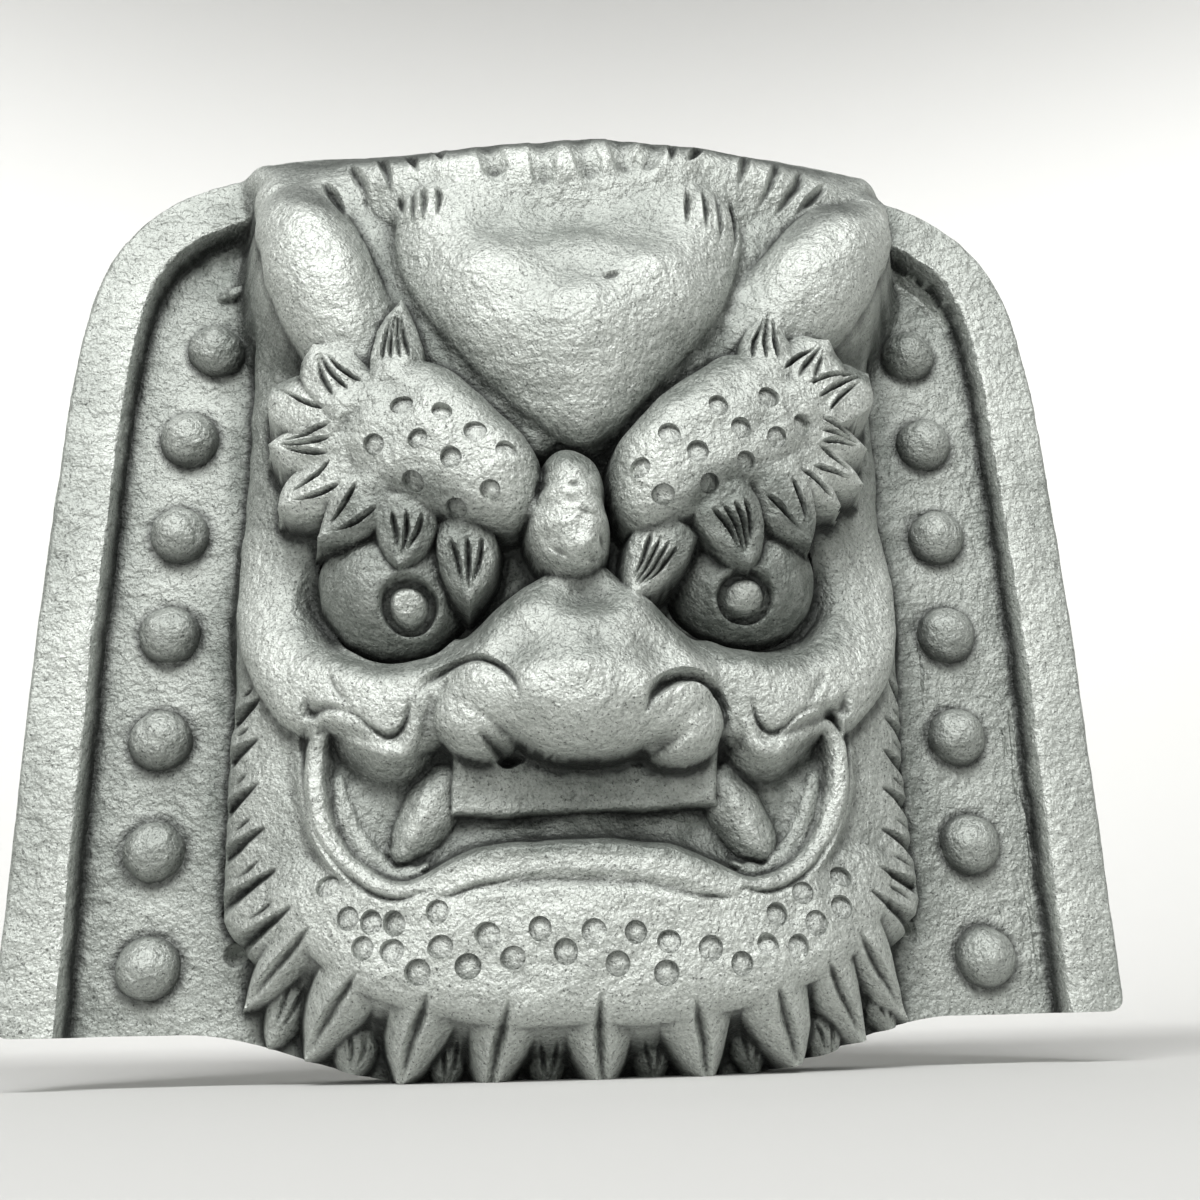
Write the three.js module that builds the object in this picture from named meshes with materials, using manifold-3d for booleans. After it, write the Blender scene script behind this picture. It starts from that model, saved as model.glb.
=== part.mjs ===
// Onigawara: a demon-faced ridge-end roof tile, pressed and carved from one piece of clay.
// Units are millimetres. +Z is up, the face looks along -Y, and the origin is on the ground
// under the middle of the tile's width and depth. Heights in the carving are measured
// forwards from the floor of the studded side channels.
import * as THREE from "three";
import { mergeVertices } from "three/addons/utils/BufferGeometryUtils.js";
import Module from "manifold-3d";

const wasm = await Module();
wasm.setup();

// Driving dimensions
const TILE_WIDTH = 300;
const SLAB_THICKNESS = 24; // back face to channel floor
const RELIEF_HEIGHT = 58; // channel floor to the tip of the nose
const TILE_DEPTH = SLAB_THICKNESS + RELIEF_HEIGHT;
const BACK_Y = TILE_DEPTH / 2;
const FLOOR_Y = BACK_Y - SLAB_THICKNESS;
const CROWN_Z = 281; // highest point of the outline
const SKIRT = { rise: 13, footHalfWidth: 42, endX: 104, cornerRadius: 5 };
const RIM = { width: 16.5, height: 8, sink: 4 };
const FACE_HALF_WIDTH = 95.5;
const FACE_MARGIN = 4; // the face is carved past the outline, then trimmed to it
const GRID = { columns: 38, rows: 54 };
const CLAY = { color: 0xa7aba9, roughness: 0.55, metalness: 0.15 };

const rad = THREE.MathUtils.degToRad;
const lerp = THREE.MathUtils.lerp;
const clamp = THREE.MathUtils.clamp;
const rise = (v, from, to) => THREE.MathUtils.smoothstep(v, from, to);

// Outline

// The right half of the crown and side, through a few points: the crown is a flat arc that
// turns down over the shoulder into a side that stands almost upright.
const CROWN_AND_SIDE = [
  [0, CROWN_Z],
  [42, 279.5],
  [82, 275],
  [112, 267],
  [131, 254],
  [142, 235],
  [147, 206],
  [149, 165],
  [TILE_WIDTH / 2, 120],
];

// An inset moves the whole line inwards, at right angles to itself.
function crownAndSide(inset) {
  const steps = 18;
  const right = CROWN_AND_SIDE.map(([x, z]) => new THREE.Vector2(x, z));
  const left = CROWN_AND_SIDE.slice(1).map(([x, z]) => new THREE.Vector2(-x, z));
  const curve = new THREE.SplineCurve([...left.reverse(), ...right]);
  const points = [];
  for (let i = 0; i <= steps; i++) {
    const t = 0.5 + (0.5 * i) / steps;
    const point = curve.getPoint(t);
    const tangent = curve.getTangent(t);
    points.push([point.x + inset * tangent.y, point.y - inset * tangent.x]);
  }
  points[0][0] = 0;
  return points;
}

function lowerCorner() {
  const steps = 3;
  const points = [];
  for (let i = 0; i <= steps; i++) {
    const a = (i / steps) * rad(90);
    const r = SKIRT.cornerRadius;
    points.push([TILE_WIDTH / 2 - r + r * Math.cos(a), SKIRT.rise + r - r * Math.sin(a)]);
  }
  return points;
}

// The wavy bottom edge: high under the channels, down to the level foot under the chin.
function skirt() {
  const steps = 9;
  const points = [];
  for (let i = 0; i <= steps; i++) {
    const x = lerp(SKIRT.endX, SKIRT.footHalfWidth, i / steps);
    points.push([x, SKIRT.rise * rise(x, SKIRT.footHalfWidth, SKIRT.endX)]);
  }
  return points;
}

const mirrored = (points) => points.map(([x, z]) => [-x, z]).reverse();

function tileOutline() {
  const right = [...crownAndSide(0), ...lowerCorner(), ...skirt()];
  return [...right, ...mirrored(right.slice(1))];
}

function rimBand() {
  const outer = [...crownAndSide(0), ...lowerCorner()];
  const inner = [...crownAndSide(RIM.width), [TILE_WIDTH / 2 - RIM.width, SKIRT.rise]];
  const side = [...outer.slice(1), ...inner.slice(1).reverse()];
  return [outer[0], ...side, inner[0], ...mirrored(side)];
}

// Solids

function toSolid(geometry) {
  geometry.deleteAttribute("normal");
  geometry.deleteAttribute("uv");
  const merged = mergeVertices(geometry, 1e-4);
  const vertProperties = new Float32Array(merged.attributes.position.array);
  const triVerts = new Uint32Array(merged.index.array);
  return new wasm.Manifold(new wasm.Mesh({ numProp: 3, vertProperties, triVerts }));
}

function indexedSolid(positions, indices) {
  const geometry = new THREE.BufferGeometry();
  geometry.setAttribute("position", new THREE.Float32BufferAttribute(positions, 3));
  geometry.setIndex(indices);
  return toSolid(geometry);
}

// A flat shape in x and z that fills the depth between two heights.
function plate(points, fromHeight, toHeight) {
  const shape = new THREE.Shape(points.map(([x, z]) => new THREE.Vector2(x, z)));
  const depth = toHeight - fromHeight;
  const geometry = new THREE.ExtrudeGeometry(shape, { depth, bevelEnabled: false });
  geometry.rotateX(rad(90));
  geometry.translate(0, FLOOR_Y - fromHeight, 0);
  return toSolid(geometry);
}

// Moves a shape whose own +Z points out of the tile to its place in the carving.
function place(geometry, x, z, height) {
  return toSolid(geometry.translate(x, FLOOR_Y - height, z));
}

// The broad masses of the face, as heights above the channel floor

function smoothMax(a, b, k) {
  const t = Math.max(k - Math.abs(a - b), 0) / k;
  return Math.max(a, b) + (t * t * k) / 4;
}

function smoothMin(a, b, k) {
  return -smoothMax(-a, -b, k);
}

// A cushion on an elliptical foot. Outside the foot its height falls away.
function cushion(x, z, { at, rx, rz, top, foot = 0, turn = 0, fullness = 2 }) {
  const dx = x - at[0];
  const dz = z - at[1];
  const c = Math.cos(rad(turn));
  const s = Math.sin(rad(turn));
  const d = Math.hypot((dx * c + dz * s) / rx, (dz * c - dx * s) / rz);
  if (d >= 1) return foot - rx * (d - 1);
  return foot + (top - foot) * Math.sqrt(1 - d ** fullness);
}

// A round-backed bar between two points, of changing radius and height.
function bar(x, z, { from, to, radius, top }) {
  const dx = to[0] - from[0];
  const dz = to[1] - from[1];
  const along = ((x - from[0]) * dx + (z - from[1]) * dz) / (dx * dx + dz * dz);
  const t = clamp(along, 0, 1);
  const r = lerp(radius[0], radius[1], t);
  const d = Math.hypot(x - from[0] - t * dx, z - from[1] - t * dz) / r;
  const base = lerp(top[0], top[1], t) - r;
  return d >= 1 ? base - 2 * r * (d - 1) : base + r * Math.sqrt(1 - d * d);
}

const flip = (mass) => ({ ...mass, at: [-mass.at[0], mass.at[1]], turn: -(mass.turn ?? 0) });
const flipBar = (b) => ({ ...b, from: [-b.from[0], b.from[1]], to: [-b.to[0], b.to[1]] });

const FACE_CUSHION = { edge: 2, middle: 29, shape: 3, footShare: 0.3, fromZ: -6, toZ: 34 };
const JAW = { drawnIn: 38, fullWidthZ: 45, sideSlope: 8 };
const FOREHEAD = {
  tipZ: 163,
  tipHalfWidth: 4,
  wideZ: 226,
  halfWidth: 57,
  taper: 0.6,
  peakZ: 203,
  reach: 50,
  top: 56,
  foot: 28,
  roundness: 2.3,
};
const MOUTH = { at: [0, 66], rx: 70, rz: 25, lift: 18, floor: 17, lipSlope: 2.6, lipStart: 0.8 };
const CROWN = { height: 14, rollBack: 1.2, fall: 13, fallX: 105 };
const BLEND = { skin: 5, mass: 4, mouth: 3, nose: 2, crown: 6 };

const CHEEK = { at: [58, 95], rx: 24, rz: 19, top: 38, foot: 14, turn: 25 };
const UPPER_LIP = { at: [43, 88], rx: 15, rz: 12, top: 38, foot: 18, turn: -20 };
const CUSHIONS = [
  { at: [0, 41], rx: 76, rz: 27, top: 39, foot: 14, fullness: 3 },
  { at: [0, 108], rx: 27, rz: 31, top: 47 },
  CHEEK,
  flip(CHEEK),
  UPPER_LIP,
  flip(UPPER_LIP),
];
const NOSE_TIP = { at: [0, 90], rx: 27, rz: 17, top: RELIEF_HEIGHT, foot: 24 };
const NOSE_WING = { at: [27, 87], rx: 11, rz: 12, top: 47, foot: 22 };
const BROW = { from: [20, 150], to: [61, 172], radius: [17, 15], top: [52, 46] };
const FORELOCK = { from: [33, 220], to: [44, 248], radius: [13, 10], top: [49, 40] };
const LIP = { from: [2, 53], to: [46, 45], radius: [9, 9], top: [37, 33] };
const BARS = [
  BROW,
  flipBar(BROW),
  { from: [-60, 192], to: [-83, 248], radius: [18, 15], top: [44, 35] },
  { from: [57, 200], to: [88, 246], radius: [18, 15], top: [44, 35] },
  FORELOCK,
  flipBar(FORELOCK),
  LIP,
  flipBar(LIP),
];

// The ground of the face. Towards the foot it draws in and leaves the slab bare at its sides.
function faceCushion(x, z) {
  const half = FACE_HALF_WIDTH - JAW.drawnIn * (1 - rise(z, 0, JAW.fullWidthZ));
  const side = Math.min(Math.abs(x) / half, 1);
  const { edge, middle, shape, footShare, fromZ, toZ } = FACE_CUSHION;
  const across = edge + (middle - edge) * Math.sqrt(1 - side ** shape);
  const beyond = Math.max(Math.abs(x) - half, 0);
  const height = across * lerp(footShare, 1, rise(z, fromZ, toZ)) - JAW.sideSlope * beyond;
  return Math.max(height, -RIM.sink);
}

// An inverted teardrop: broad under the hairline, drawn down to a tip between the brows.
function forehead(x, z) {
  const open = clamp((z - FOREHEAD.tipZ) / (FOREHEAD.wideZ - FOREHEAD.tipZ), 0, 1);
  const half = lerp(FOREHEAD.tipHalfWidth, FOREHEAD.halfWidth, open ** FOREHEAD.taper);
  const across = Math.abs(x) / half;
  const upward = Math.abs(z - FOREHEAD.peakZ) / FOREHEAD.reach;
  const body = 1 - across ** FOREHEAD.roundness - upward ** FOREHEAD.roundness;
  if (body <= 0) return FOREHEAD.foot + FOREHEAD.top * body;
  return FOREHEAD.foot + (FOREHEAD.top - FOREHEAD.foot) * Math.sqrt(body);
}

function mouthFloor(x, z) {
  const middleZ = MOUTH.at[1] + MOUTH.lift * (x / MOUTH.rx) ** 2;
  const d = Math.hypot(x / MOUTH.rx, (z - middleZ) / MOUTH.rz);
  return MOUTH.floor + MOUTH.lipSlope * MOUTH.rz * Math.max(d - MOUTH.lipStart, 0);
}

function faceHeight(x, z) {
  let h = smoothMax(faceCushion(x, z), forehead(x, z), BLEND.skin);
  for (const mass of CUSHIONS) h = smoothMax(h, cushion(x, z, mass), BLEND.mass);
  h = smoothMin(h, mouthFloor(x, z), BLEND.mouth);
  for (const mass of BARS) h = smoothMax(h, bar(x, z, mass), BLEND.mass);
  for (const mass of [NOSE_TIP, NOSE_WING, flip(NOSE_WING)]) {
    h = smoothMax(h, cushion(x, z, mass), BLEND.nose);
  }
  const crownZ = CROWN_Z - CROWN.fall * (x / CROWN.fallX) ** 2;
  const roll = CROWN.height + CROWN.rollBack * Math.max(crownZ - z, 0);
  return Math.min(smoothMin(h, roll, BLEND.crown), RELIEF_HEIGHT);
}

// A block with a flat root and a front that follows heightAt(x, z).
function reliefBlock({ x: [left, right], z: [bottom, top], columns, rows, root, heightAt }) {
  const positions = [];
  const indices = [];
  for (let j = 0; j <= rows; j++) {
    for (let i = 0; i <= columns; i++) {
      const x = lerp(left, right, i / columns);
      const z = lerp(bottom, top, j / rows);
      positions.push(x, FLOOR_Y - heightAt(x, z), z);
    }
  }
  const at = (i, j) => j * (columns + 1) + i;
  for (let j = 0; j < rows; j++) {
    for (let i = 0; i < columns; i++) {
      indices.push(at(i, j), at(i + 1, j), at(i + 1, j + 1));
      indices.push(at(i, j), at(i + 1, j + 1), at(i, j + 1));
    }
  }
  const border = [];
  for (let i = 0; i < columns; i++) border.push(at(i, 0));
  for (let j = 0; j < rows; j++) border.push(at(columns, j));
  for (let i = columns; i > 0; i--) border.push(at(i, rows));
  for (let j = rows; j > 0; j--) border.push(at(0, j));
  const firstRoot = positions.length / 3;
  for (const b of border) positions.push(positions[3 * b], FLOOR_Y - root, positions[3 * b + 2]);
  const centre = positions.length / 3;
  positions.push((left + right) / 2, FLOOR_Y - root, (bottom + top) / 2);
  border.forEach((b, n) => {
    const next = (n + 1) % border.length;
    indices.push(b, firstRoot + n, firstRoot + next);
    indices.push(b, firstRoot + next, border[next]);
    indices.push(centre, firstRoot + next, firstRoot + n);
  });
  return indexedSolid(positions, indices);
}

// Eyes, nub, teeth and studs

const EYE = { left: [-49, 130], right: [46.3, 133.5], radius: 22.5, depth: 24, top: 38 };
const PUPIL = { radius: 7.2, grooveWidth: 2.2, grooveDepth: 2, proud: 3, drop: 8.5, lean: 2, top: 36 };
const NUB = { at: [-2, 142], rx: 11.5, rz: 18.5, depth: 15, top: 51 };
const TEETH = { from: [-33, 66], to: [35.5, 76], root: 8, top: 30 };
const FANGS = [
  { root: [-36, 73], tip: [-47, 53] },
  { root: [37, 73], tip: [49.5, 51] },
];
const FANG = { width: 16, drop: 7, heights: [31, 20] };
const STUD = { radius: 8.6, height: 8.4, wall: 3, batter: 0.5, root: 2, sides: 14 };
const STUD_CROWN = { radius: 5.8, drop: 1.5 };
const STUD_ROW = { x: 114, firstZ: 29, pitch: 31.4, count: 6 };
const TOP_STUD = { x: 110, z: 215.5 };

function ball(at, { rx, rz, depth, top }, around = 16, down = 10) {
  const geometry = new THREE.SphereGeometry(1, around, down);
  geometry.scale(rx, depth, rz);
  return place(geometry, at[0], at[1], top - depth);
}

// A profile of [radius, height] pairs turned about a line out of the tile's face.
function turned(profile, sides) {
  const points = profile.map(([r, h]) => new THREE.Vector2(r, h));
  return new THREE.LatheGeometry(points, sides).rotateX(rad(180));
}

function eye(at) {
  const size = { rx: EYE.radius, rz: EYE.radius, depth: EYE.depth, top: EYE.top };
  const inner = PUPIL.radius - PUPIL.grooveWidth;
  const { radius, grooveDepth, proud } = PUPIL;
  const profile = [
    [inner, -grooveDepth],
    [radius, -grooveDepth],
    [radius, proud],
    [inner, proud],
    [inner, -grooveDepth],
  ];
  const towardsNose = at[0] < 0 ? PUPIL.lean : -PUPIL.lean;
  const groove = place(turned(profile, 16), at[0] + towardsNose, at[1] - PUPIL.drop, PUPIL.top);
  return ball(at, size, 20, 14).subtract(groove);
}

function stud(x, z) {
  const profile = [
    [0, -STUD.root],
    [STUD.radius, -STUD.root],
    [STUD.radius - STUD.batter, STUD.wall],
    [STUD_CROWN.radius, STUD.height - STUD_CROWN.drop],
    [0, STUD.height],
  ];
  return place(turned(profile, STUD.sides), x, z, 0);
}

function studs() {
  const solids = [];
  for (const side of [-1, 1]) {
    for (let i = 0; i < STUD_ROW.count; i++) {
      solids.push(stud(side * STUD_ROW.x, STUD_ROW.firstZ + i * STUD_ROW.pitch));
    }
    solids.push(stud(side * TOP_STUD.x, TOP_STUD.z));
  }
  return solids;
}

function teeth() {
  const { from, to, root, top } = TEETH;
  const outline = [from, [to[0], from[1]], to, [from[0], to[1]]];
  return plate(outline, root, top);
}

// A fang: a faceted point on a fat root, lying on the floor of the mouth.
function fang({ root, tip }) {
  return lock({ root, tip, ...FANG });
}

// Locks of hair

const LOCK_RINGS = [
  { t: -0.12, w: 0.6 },
  { t: 0.35, w: 1 },
  { t: 0.75, w: 0.62 },
];

const LOCK_SEAT = -1; // locks and fangs are rooted just under the channel floor

// A leaf with a raised middle, from a broad root to a point. drop is how far its edges
// lie below its spine.
function lock({ root, tip, width, heights, drop }) {
  const dx = tip[0] - root[0];
  const dz = tip[1] - root[1];
  const half = width / 2 / Math.hypot(dx, dz);
  const positions = [];
  const indices = [];
  const push = (t, side, height) => {
    positions.push(root[0] + dx * t + dz * half * side);
    positions.push(FLOOR_Y - height);
    positions.push(root[1] + dz * t - dx * half * side);
  };
  for (const { t, w } of LOCK_RINGS) {
    const spine = lerp(heights[0], heights[1], Math.max(t, 0));
    push(t, -w, spine - drop);
    push(t, 0, spine);
    push(t, w, spine - drop);
    push(t, w, LOCK_SEAT);
    push(t, -w, LOCK_SEAT);
  }
  push(1, 0, heights[1] - drop);
  push(1, 0, LOCK_SEAT);
  const sides = 5;
  const rings = LOCK_RINGS.length;
  for (let ring = 0; ring < rings - 1; ring++) {
    for (let k = 0; k < sides; k++) {
      const a = ring * sides + k;
      const b = ring * sides + ((k + 1) % sides);
      indices.push(a, b, b + sides, a, b + sides, a + sides);
    }
  }
  const last = (rings - 1) * sides;
  const upper = rings * sides;
  const lower = upper + 1;
  indices.push(last, last + 1, upper, last + 1, last + 2, upper);
  indices.push(last + 2, lower, upper, last + 2, last + 3, lower);
  indices.push(last + 3, last + 4, lower, last + 4, upper, lower, last + 4, last, upper);
  for (let k = 1; k < sides - 1; k++) indices.push(0, k + 1, k);
  return indexedSolid(positions, indices);
}

// The locks at the ends of the fringe sit higher on the jaw and lie flatter than the middle one.
const BEARD = {
  count: 9,
  spreadDeg: 72,
  width: 17,
  drop: 5,
  middle: { rootX: 71.5, rootZ: 22, tipX: 89, tipZ: 1.2, heights: [37, 23] },
  endLift: { root: 26, tip: 23 },
  endFall: 20,
};
const SIDE_BEARD = { count: 5, fromZ: 44, toZ: 98, rootX: 80, tipX: 93, width: 11, drop: 4 };
const SIDE_LOCK = { rootUp: 3, tipDown: 4, heights: [18, 7] };

// The fringe of big locks under the chin, fanned out from straight down to the sides.
function beard() {
  const locks = [];
  for (let i = 0; i < BEARD.count; i++) {
    const a = rad(lerp(-BEARD.spreadDeg, BEARD.spreadDeg, i / (BEARD.count - 1)));
    const turn = 1 - Math.cos(a);
    const { rootX, rootZ, tipX, tipZ, heights } = BEARD.middle;
    const root = [rootX * Math.sin(a), rootZ + BEARD.endLift.root * turn ** 1.5];
    const tip = [tipX * Math.sin(a), tipZ + BEARD.endLift.tip * turn];
    const lowered = heights.map((height) => height - BEARD.endFall * turn);
    locks.push(lock({ root, tip, width: BEARD.width, heights: lowered, drop: BEARD.drop }));
  }
  return locks;
}

function sideBeard() {
  const locks = [];
  for (const side of [-1, 1]) {
    for (let i = 0; i < SIDE_BEARD.count; i++) {
      const z = lerp(SIDE_BEARD.fromZ, SIDE_BEARD.toZ, i / (SIDE_BEARD.count - 1));
      const root = [side * SIDE_BEARD.rootX, z + SIDE_LOCK.rootUp];
      const tip = [side * SIDE_BEARD.tipX, z - SIDE_LOCK.tipDown];
      const { width, drop } = SIDE_BEARD;
      locks.push(lock({ root, tip, width, heights: SIDE_LOCK.heights, drop }));
    }
  }
  return locks;
}

const BROW_LOCKS = [
  { root: [31, 144], tip: [27, 117], width: 15, heights: [47, 40] },
  { root: [45, 146], tip: [47, 125], width: 15, heights: [47, 40] },
  { root: [56, 152], tip: [67, 135], width: 14, heights: [46, 37] },
  { root: [65, 158], tip: [81, 149], width: 13, heights: [42, 33] },
  { root: [69, 166], tip: [85, 165], width: 12, heights: [42, 32] },
  { root: [69, 173], tip: [86, 185], width: 13, heights: [42, 34] },
  { root: [61, 178], tip: [73, 196], width: 13, heights: [45, 36] },
  { root: [50, 179], tip: [52, 208], width: 15, heights: [47, 38] },
];
const BROW_DROP = 4;
const RIGHT_BROW_LIFT = 3; // the right brow is cocked a little higher

function browLocks() {
  const locks = [];
  for (const side of [-1, 1]) {
    const lifted = side > 0 ? RIGHT_BROW_LIFT : 0;
    for (const { root, tip, ...rest } of BROW_LOCKS) {
      const from = [side * root[0], root[1] + lifted];
      const to = [side * tip[0], tip[1] + lifted];
      locks.push(lock({ root: from, tip: to, drop: BROW_DROP, ...rest }));
    }
  }
  return locks;
}

const CROWN_HAIR = { count: 9, spacing: 13, rootZ: 258, length: 20, width: 13, drop: 4, fan: 1.12 };
const CROWN_HAIR_HEIGHTS = [37, 20];
const CROWN_HAIR_FALL = { amount: 9, atX: 60 };

// Short locks combed back over the crown, between the horns.
function crownHair() {
  const locks = [];
  const middle = (CROWN_HAIR.count - 1) / 2;
  for (let i = 0; i < CROWN_HAIR.count; i++) {
    const x = (i - middle) * CROWN_HAIR.spacing;
    const rootZ = CROWN_HAIR.rootZ - CROWN_HAIR_FALL.amount * (x / CROWN_HAIR_FALL.atX) ** 2;
    const root = [x, rootZ];
    const tip = [x * CROWN_HAIR.fan, rootZ + CROWN_HAIR.length];
    const { width, drop } = CROWN_HAIR;
    locks.push(lock({ root, tip, width, heights: CROWN_HAIR_HEIGHTS, drop }));
  }
  return locks;
}

// The hollow in the back, where the clay was scooped out so that it dries and fires evenly

const HOLLOW = { halfWidth: 80, z: [34, 236], depth: 20, draft: 14, cornerBlend: 24, proud: 2 };
const HOLLOW_DOMES = [
  { at: [0, 196], rx: 52, rz: 40, top: 24 },
  { at: [0, 102], rx: 36, rz: 34, top: 22 },
];

// Depth from the back face at a place in the pocket: drafted walls round a level bed,
// with two deeper domes behind the forehead and the nose.
function hollowDepth(x, z) {
  const fromSide = HOLLOW.halfWidth - Math.abs(x);
  const fromEnd = Math.min(z - HOLLOW.z[0], HOLLOW.z[1] - z);
  const wall = smoothMin(fromSide, fromEnd, HOLLOW.cornerBlend) * (HOLLOW.depth / HOLLOW.draft);
  let bed = HOLLOW.depth;
  for (const dome of HOLLOW_DOMES) bed = Math.max(bed, HOLLOW.depth + cushion(x, z, dome));
  return Math.max(Math.min(wall, bed), -HOLLOW.proud);
}

function hollow() {
  return reliefBlock({
    x: [-HOLLOW.halfWidth, HOLLOW.halfWidth],
    z: HOLLOW.z,
    columns: 12,
    rows: 16,
    root: -SLAB_THICKNESS - 2 * HOLLOW.proud,
    heightAt: (x, z) => hollowDepth(x, z) - SLAB_THICKNESS,
  });
}

// The whole tile

function face() {
  const block = reliefBlock({
    x: [-FACE_HALF_WIDTH, FACE_HALF_WIDTH],
    z: [-FACE_MARGIN, CROWN_Z + FACE_MARGIN],
    ...GRID,
    root: -SLAB_THICKNESS / 2,
    heightAt: faceHeight,
  });
  const carving = [
    block,
    eye(EYE.left),
    eye(EYE.right),
    ball(NUB.at, NUB),
    teeth(),
    ...FANGS.map(fang),
    ...beard(),
    ...sideBeard(),
    ...browLocks(),
    ...crownHair(),
  ].reduce((whole, piece) => whole.add(piece));
  return carving.intersect(plate(tileOutline(), -SLAB_THICKNESS, RELIEF_HEIGHT));
}

function tile() {
  const slab = plate(tileOutline(), -SLAB_THICKNESS, 0);
  const rim = plate(rimBand(), -RIM.sink, RIM.height);
  const front = [slab, rim, face(), ...studs()].reduce((whole, piece) => whole.add(piece));
  return front.subtract(hollow());
}

function toMesh(solid, name) {
  const { vertProperties, triVerts } = solid.getMesh();
  const geometry = new THREE.BufferGeometry();
  geometry.setAttribute("position", new THREE.Float32BufferAttribute(vertProperties, 3));
  geometry.setIndex(Array.from(triVerts));
  geometry.computeVertexNormals();
  const mesh = new THREE.Mesh(geometry, new THREE.MeshStandardMaterial(CLAY));
  mesh.name = name;
  return mesh;
}

const onigawara = new THREE.Group();
onigawara.add(toMesh(tile(), "onigawara_tile"));

export default onigawara;
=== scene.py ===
import math
import bpy
import bmesh
import numpy as np
from mathutils import Matrix, Vector


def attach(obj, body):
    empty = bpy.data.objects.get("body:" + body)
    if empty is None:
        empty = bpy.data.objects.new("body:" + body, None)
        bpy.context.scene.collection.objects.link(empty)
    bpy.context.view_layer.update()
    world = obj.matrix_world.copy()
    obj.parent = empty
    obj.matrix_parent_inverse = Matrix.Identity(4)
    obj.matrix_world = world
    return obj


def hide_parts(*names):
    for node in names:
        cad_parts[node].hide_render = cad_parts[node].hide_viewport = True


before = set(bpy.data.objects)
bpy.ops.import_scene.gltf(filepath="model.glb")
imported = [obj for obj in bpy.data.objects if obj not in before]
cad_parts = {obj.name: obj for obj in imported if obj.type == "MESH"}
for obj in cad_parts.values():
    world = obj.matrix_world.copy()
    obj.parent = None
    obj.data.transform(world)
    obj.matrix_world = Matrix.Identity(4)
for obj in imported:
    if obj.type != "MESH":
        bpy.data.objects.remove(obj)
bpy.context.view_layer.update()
mm = 0.001


# What the tile measures, in mm. x runs to the right, z up, and h is the height of the
# carving above the floor of the side channels.
tileSize = {
    "width": 300.0,
    "channelFloorY": 17.0,
    "backY": 41.0,
    "rimWidth": 16.5,
    "rimHeight": 8.0,
    "rimEdgeWear": 1.5,
    "skirtRise": 13.0,
    "footHalfWidth": 42.0,
    "skirtEndX": 104.0,
    "cornerRadius": 5.0,
    "sideLine": [
        (0, 281), (42, 279.5), (82, 275), (112, 267), (131, 254), (142, 235), (147, 206), (149, 165),
        (150, 120)],
    "gridStep": 0.4,
    "gridBox": (-152.0, -3.0, 152.0, 284.0),
    "waver": 0.6,             # how far the hand strays, so that no line looks machined
}


def smoothMax(a, b, k):
    t = np.clip(k - np.abs(a - b), 0, None) / k
    return np.maximum(a, b) + t * t * k / 4


def smoothMin(a, b, k):
    return -smoothMax(-a, -b, k)


def ramp(v, low, high):
    t = np.clip((v - low) / (high - low), 0, 1)
    return t * t * (3 - 2 * t)


def roundOff(s, power):
    # 0 in the middle, 1 at the edge, like the side of a pebble
    s = np.clip(s, 0, 1)
    return 1 - (1 - s ** power) ** (1 / power)


def smoothCurve(points, closed=False, perSpan=8):
    # an even Catmull-Rom curve through the points; extra columns ride along
    p = np.array(points, float)
    if closed:
        p = np.vstack([p[-1], p, p[0], p[1]])
    else:
        p = np.vstack([2 * p[0] - p[1], p, 2 * p[-1] - p[-2]])
    t = (np.arange(perSpan) / perSpan)[:, None]
    spans = []
    for a, b, c, d in zip(p[:-3], p[1:-2], p[2:-1], p[3:]):
        spans.append(0.5 * (2 * b + (c - a) * t + (2 * a - 5 * b + 4 * c - d) * t ** 2
                            + (3 * b - a - 3 * c + d) * t ** 3))
    curve = np.vstack(spans)
    return np.vstack([curve, curve[0] if closed else p[-2]])


def blurred(field, cells):
    # three passes of a box come close to a Gaussian
    size = max(int(round(cells)), 1)
    for _ in range(3):
        for axis in (0, 1):
            pad = [(0, 0), (0, 0)]
            pad[axis] = (size + 1, size)
            total = np.cumsum(np.pad(field, pad, mode="edge"), axis=axis)
            n = field.shape[axis]
            high = np.take(total, np.arange(2 * size + 1, 2 * size + 1 + n), axis=axis)
            low = np.take(total, np.arange(0, n), axis=axis)
            field = (high - low) / (2 * size + 1)
    return field


def lumps(x, z, size, seed):
    # smooth random heights between about -1 and 1, lumps of the given size in mm
    rng = np.random.RandomState(seed)
    u, v = (x + 400) / size, (z + 100) / size
    table = rng.uniform(-1, 1, (int(500 / size) + 8, int(900 / size) + 8))
    j, i = np.floor(v).astype(int), np.floor(u).astype(int)
    fj, fi = v - j, u - i

    def weights(t):
        return ((1 - t) ** 3 / 6, (3 * t ** 3 - 6 * t ** 2 + 4) / 6,
                (-3 * t ** 3 + 3 * t ** 2 + 3 * t + 1) / 6, t ** 3 / 6)

    total = 0
    for a, wj in enumerate(weights(fj)):
        for b, wi in enumerate(weights(fi)):
            total = total + wj * wi * table[j + a, i + b]
    return 1.7 * total


def lumpSum(x, z, layers):
    # layers are (height, size, seed)
    return sum(height * lumps(x, z, size, seed) for height, size, seed in layers)


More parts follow.
